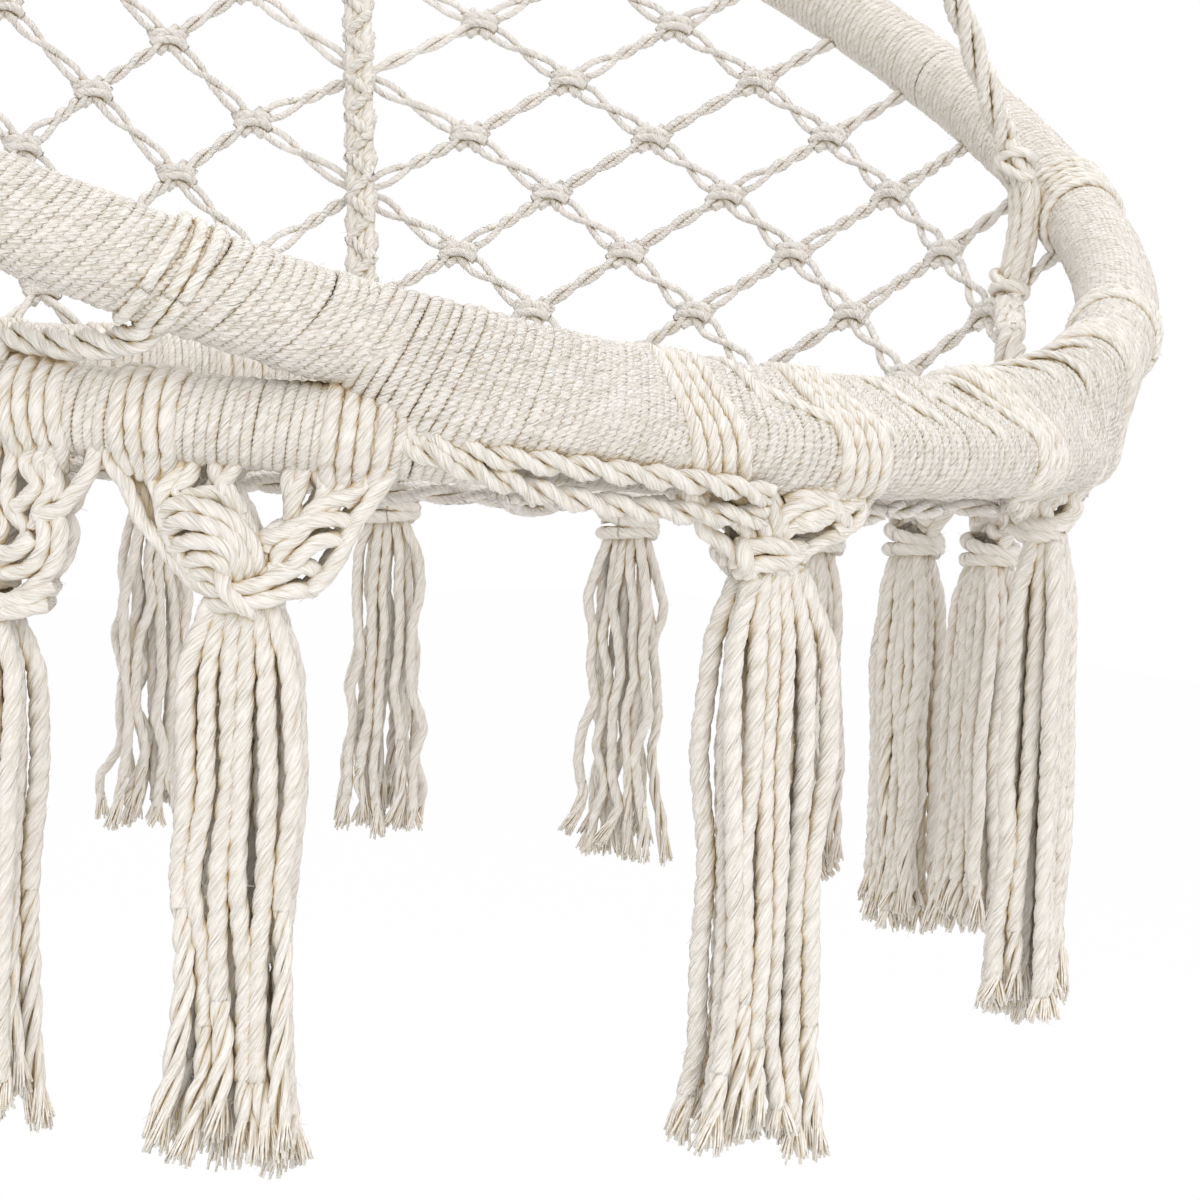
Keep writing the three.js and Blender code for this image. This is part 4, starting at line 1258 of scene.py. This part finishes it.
# The skirts at the back hang looser, with gaps between thinner cords
looseShape = {
    **skirtShape,
    "wide": [8, 9.5, 12.5, 15, 16, 17.5, 20],
    "deep": [4, 5, 6.5, 8, 8.5, 9.5, 11],
    "rows": [(0.85, 6, 1.0), (0.0, 3, 0.6), (-0.85, 5, 0.95)],
    "marks": 10, "wander": 1.8, "cord": 0.8,
}
narrowSkirts = {4: 0.8, 5: 0.8}
skirtLook = {
    "loose": (80, 280), "cord": 3.5, "cordSpread": (0.9, 1.06), "lay": 29.0, "lean": 0.035, "steps": 110,
    "drift": np.array([1.7, 1.4]), "stray": 3.2, "short": 11, "ends": (-10, 5),
    "unlaid": [8.0, 16.0, 26.0, 45.0, 80.0], "odds": [0.28, 0.3, 0.22, 0.12, 0.08],
    "plySteps": 30, "plyCord": 0.54, "plyLay": 60.0, "join": 4, "opening": 0.35,
    "splay": 0.48, "splayMore": (0.05, 0.5), "thinOver": 9,
    "yarns": 9, "yarnSteps": 7, "yarnRadius": 0.5, "yarnLay": 30.0, "yarnFuzz": 0.02, "yarnLength": (10, 20),
    "yarnPlace": (0.35, 0.75), "yarnSplay": 0.9, "yarnEnd": (3.0, 7.5), "yarnStray": 0.25,
}


def shapeOf(tassel):
    return looseShape if skirtLook["loose"][0] < tassel[0] % 360 < skirtLook["loose"][1] else skirtShape


def strandLines(number, tassel, rng):
    look, shape = skirtLook, shapeOf(tassel)
    centre, out, along, _ = tasselFrame(tassel)
    lift = raised.get(number, usualRise) - usualRise
    length = tassel[3] - tassel[2] + lift
    share = np.linspace(0, 1, 26)
    narrow = narrowSkirts.get(number, 1.0)
    wide, deep = (np.interp(share, shape["share"], shape[name]) * narrow for name in ("wide", "deep"))
    marks = np.linspace(0, 1, shape["marks"])
    strands = []
    for row, inRow, fill in shape["rows"]:
        for spot in np.linspace(-fill, fill, inRow):
            wander = rng.normal(0, shape["wander"], (len(marks), 2)) * look["drift"] * marks[:, None] ** 0.5
            wander[1:3, 0] += np.sign(spot) * rng.uniform(0, look["stray"]) * (abs(spot) > 0.95 * fill)
            drift = resample(wander, len(share), marks)
            end = (length - look["short"] + rng.uniform(*look["ends"])) * share
            line = centre + along * (spot * wide + drift[:, 0])[:, None]
            line = line + out * (row * deep + drift[:, 1])[:, None]
            line = line + upward * (lift - 1.0 - end)[:, None] + leanWay * (look["lean"] * end)[:, None]
            strands.append(spline(line, look["steps"]))
    return np.array(strands)


def plyYarns(line, thickness, rng):
    # Yarns lie side by side round the last part of a ply and end at a ragged cut
    look = skirtLook
    reach = lengthsAlong(line)
    squared = np.linspace(0, 1, look["yarnSteps"])[:, None] ** 2
    made = []
    for i in range(look["yarns"]):
        core = resample(line, look["yarnSteps"], reach, max(reach[-1] - rng.uniform(*look["yarnLength"]), 0))
        way = unit(core[-1] - core[-3])
        side = unit(np.cross(way, [0.3, 0.9, 0.1]))
        radial = around(fullTurn * (i + rng.uniform(-0.3, 0.3)) / look["yarns"], side, np.cross(way, side))
        spread = thickness * rng.uniform(*look["yarnPlace"]) + rng.uniform(0, look["yarnSplay"]) * squared
        core = core + rng.uniform(*look["yarnEnd"]) * squared * way
        made.append(core + spread * radial + rng.normal(0, look["yarnStray"], 3) * squared)
    return made


def addSkirt(number, tassel):
    look = skirtLook
    rng = np.random.default_rng(120 + number)
    strands = strandLines(number, tassel, rng)
    normals = carryNormals(strands, unit(np.gradient(strands, axis=1)))
    count = len(strands)
    phases = rng.uniform(0, fullTurn, count)
    unlaid = rng.choice(look["unlaid"], count, p=look["odds"])
    sizes = look["cord"] * rng.uniform(*look["cordSpread"], count) * shapeOf(tassel)["cord"]
    share = np.linspace(0, 1, look["plySteps"])
    mains, plies, thin, yarns = [], [], [], []
    for columns, loose, size, phase in zip(np.dstack([strands, normals]), unlaid, sizes, phases):
        reach = lengthsAlong(columns[:, :3])
        laid = reach[-1] - loose
        mains.append(resample(columns, look["steps"], reach, 0, laid))
        tail = resample(columns, look["plySteps"], reach, laid - look["join"], reach[-1] - 5)
        tangent = unit(np.gradient(tail[:, :3], axis=0))
        normal = unit(tail[:, 3:] - tangent * dot(tail[:, 3:], tangent))
        across = np.cross(tangent, normal)
        base = fullTurn * (laid - look["join"]) / look["lay"] + phase
        opened = fullTurn * (loose + look["join"]) / look["lay"] * share * (1 - look["opening"] * share)
        for ply in range(3):
            splay = size * (look["splay"] + rng.uniform(*look["splayMore"]) * share ** 1.6)
            turn = base + fullTurn * ply / 3 + opened
            line = tail[:, :3] + splay[:, None] * around(turn, normal, across)
            left = lengthsAlong(line)[-1] - lengthsAlong(line)
            plies.append(line)
            thin.append(size * look["plyCord"] * np.clip(left / look["thinOver"], 0.2, 1) ** 0.5)
            yarns += plyYarns(line, size * look["plyCord"], rng)
    mains = np.array(mains)
    skirt = Weave()
    skirt.cords(mains[..., :3], sizes[:, None], look["lay"], "filler", 130 + number, phases, mains[..., 3:])
    skirt.cords(plies, thin, look["plyLay"], "ply", 131 + number)
    skirt.cords(yarns, look["yarnRadius"], look["yarnLay"], "yarn", 132 + number, fuzz=look["yarnFuzz"])
    skirt.piece(f"tassel_skirt_{number:02d}", "cords", "fringe_cotton", f"tassel_skirt_{number:02d}")


for index, tassel in enumerate(tassels, 1):
    addTasselKnot(index, tassel)
    addSkirt(index, tassel)
print("tassels ready")


# Pale studio: the camera sees white behind the chair, and the floor keeps a soft shadow
studio = {
    "floorHeight": -1.95, "floorSize": 14, "floorShare": 0.93, "matte": (0.86, 0.86, 0.85, 1), "world": 1.0,
    "lamps": {
        "keyLight": {"place": (-3.2, -5.2, 2.2), "aim": (0, 0.1, -0.9), "size": 4.5, "power": 142.0},
        "topLight": {"place": (0.9, 0.4, 1.3), "aim": (0, 0, -0.9), "size": 2.2, "power": 24.0},
    },
}


def seenRays(graph):
    # 1 for rays that reach the camera, straight or by way of metal or glass
    camera, glossy, clear = (
        graph.node("ShaderNodeLightPath", output=f"Is {kind} Ray")
        for kind in ("Camera", "Glossy", "Transmission"))
    return (camera + glossy + clear).clamped()


def addStudio(look):
    bpy.ops.mesh.primitive_plane_add(size=look["floorSize"], location=(0, 0, look["floorHeight"]))
    floor = bpy.context.object
    floor.name = "studio_floor"
    material, graph = newTree("paleFloor")
    seen = seenRays(graph) * look["floorShare"]
    matte = graph.node("ShaderNodeBsdfDiffuse", inputs={"Color": look["matte"]})
    white = graph.node("ShaderNodeEmission", inputs={"Color": (1, 1, 1, 1), "Strength": 1.0})
    finishTree(graph, graph.node("ShaderNodeMixShader", inputs={0: seen, 1: matte, 2: white}))
    floor.data.materials.append(material)
    world = bpy.data.worlds.new("paleWorld")
    world.use_nodes = True
    world.node_tree.nodes.clear()
    sky = Socket(world.node_tree)
    strength = seenRays(sky) * (1 - look["world"]) + look["world"]
    glow = sky.node("ShaderNodeBackground", inputs={"Color": (1, 1, 1, 1), "Strength": strength})
    finishTree(sky, glow, "ShaderNodeOutputWorld")
    bpy.context.scene.world = world
    for name, lampLook in look["lamps"].items():
        data = bpy.data.lights.new(name, "AREA")
        data.size = lampLook["size"]
        data.energy = lampLook["power"]
        lamp = bpy.data.objects.new(name, data)
        lamp.location = lampLook["place"]
        way = Vector(lampLook["aim"]) - Vector(lampLook["place"])
        lamp.rotation_euler = way.to_track_quat("-Z", "Y").to_euler()
        bpy.context.scene.collection.objects.link(lamp)
    bpy.context.scene.view_settings.view_transform = "Standard"


addStudio(studio)
print("studio ready")
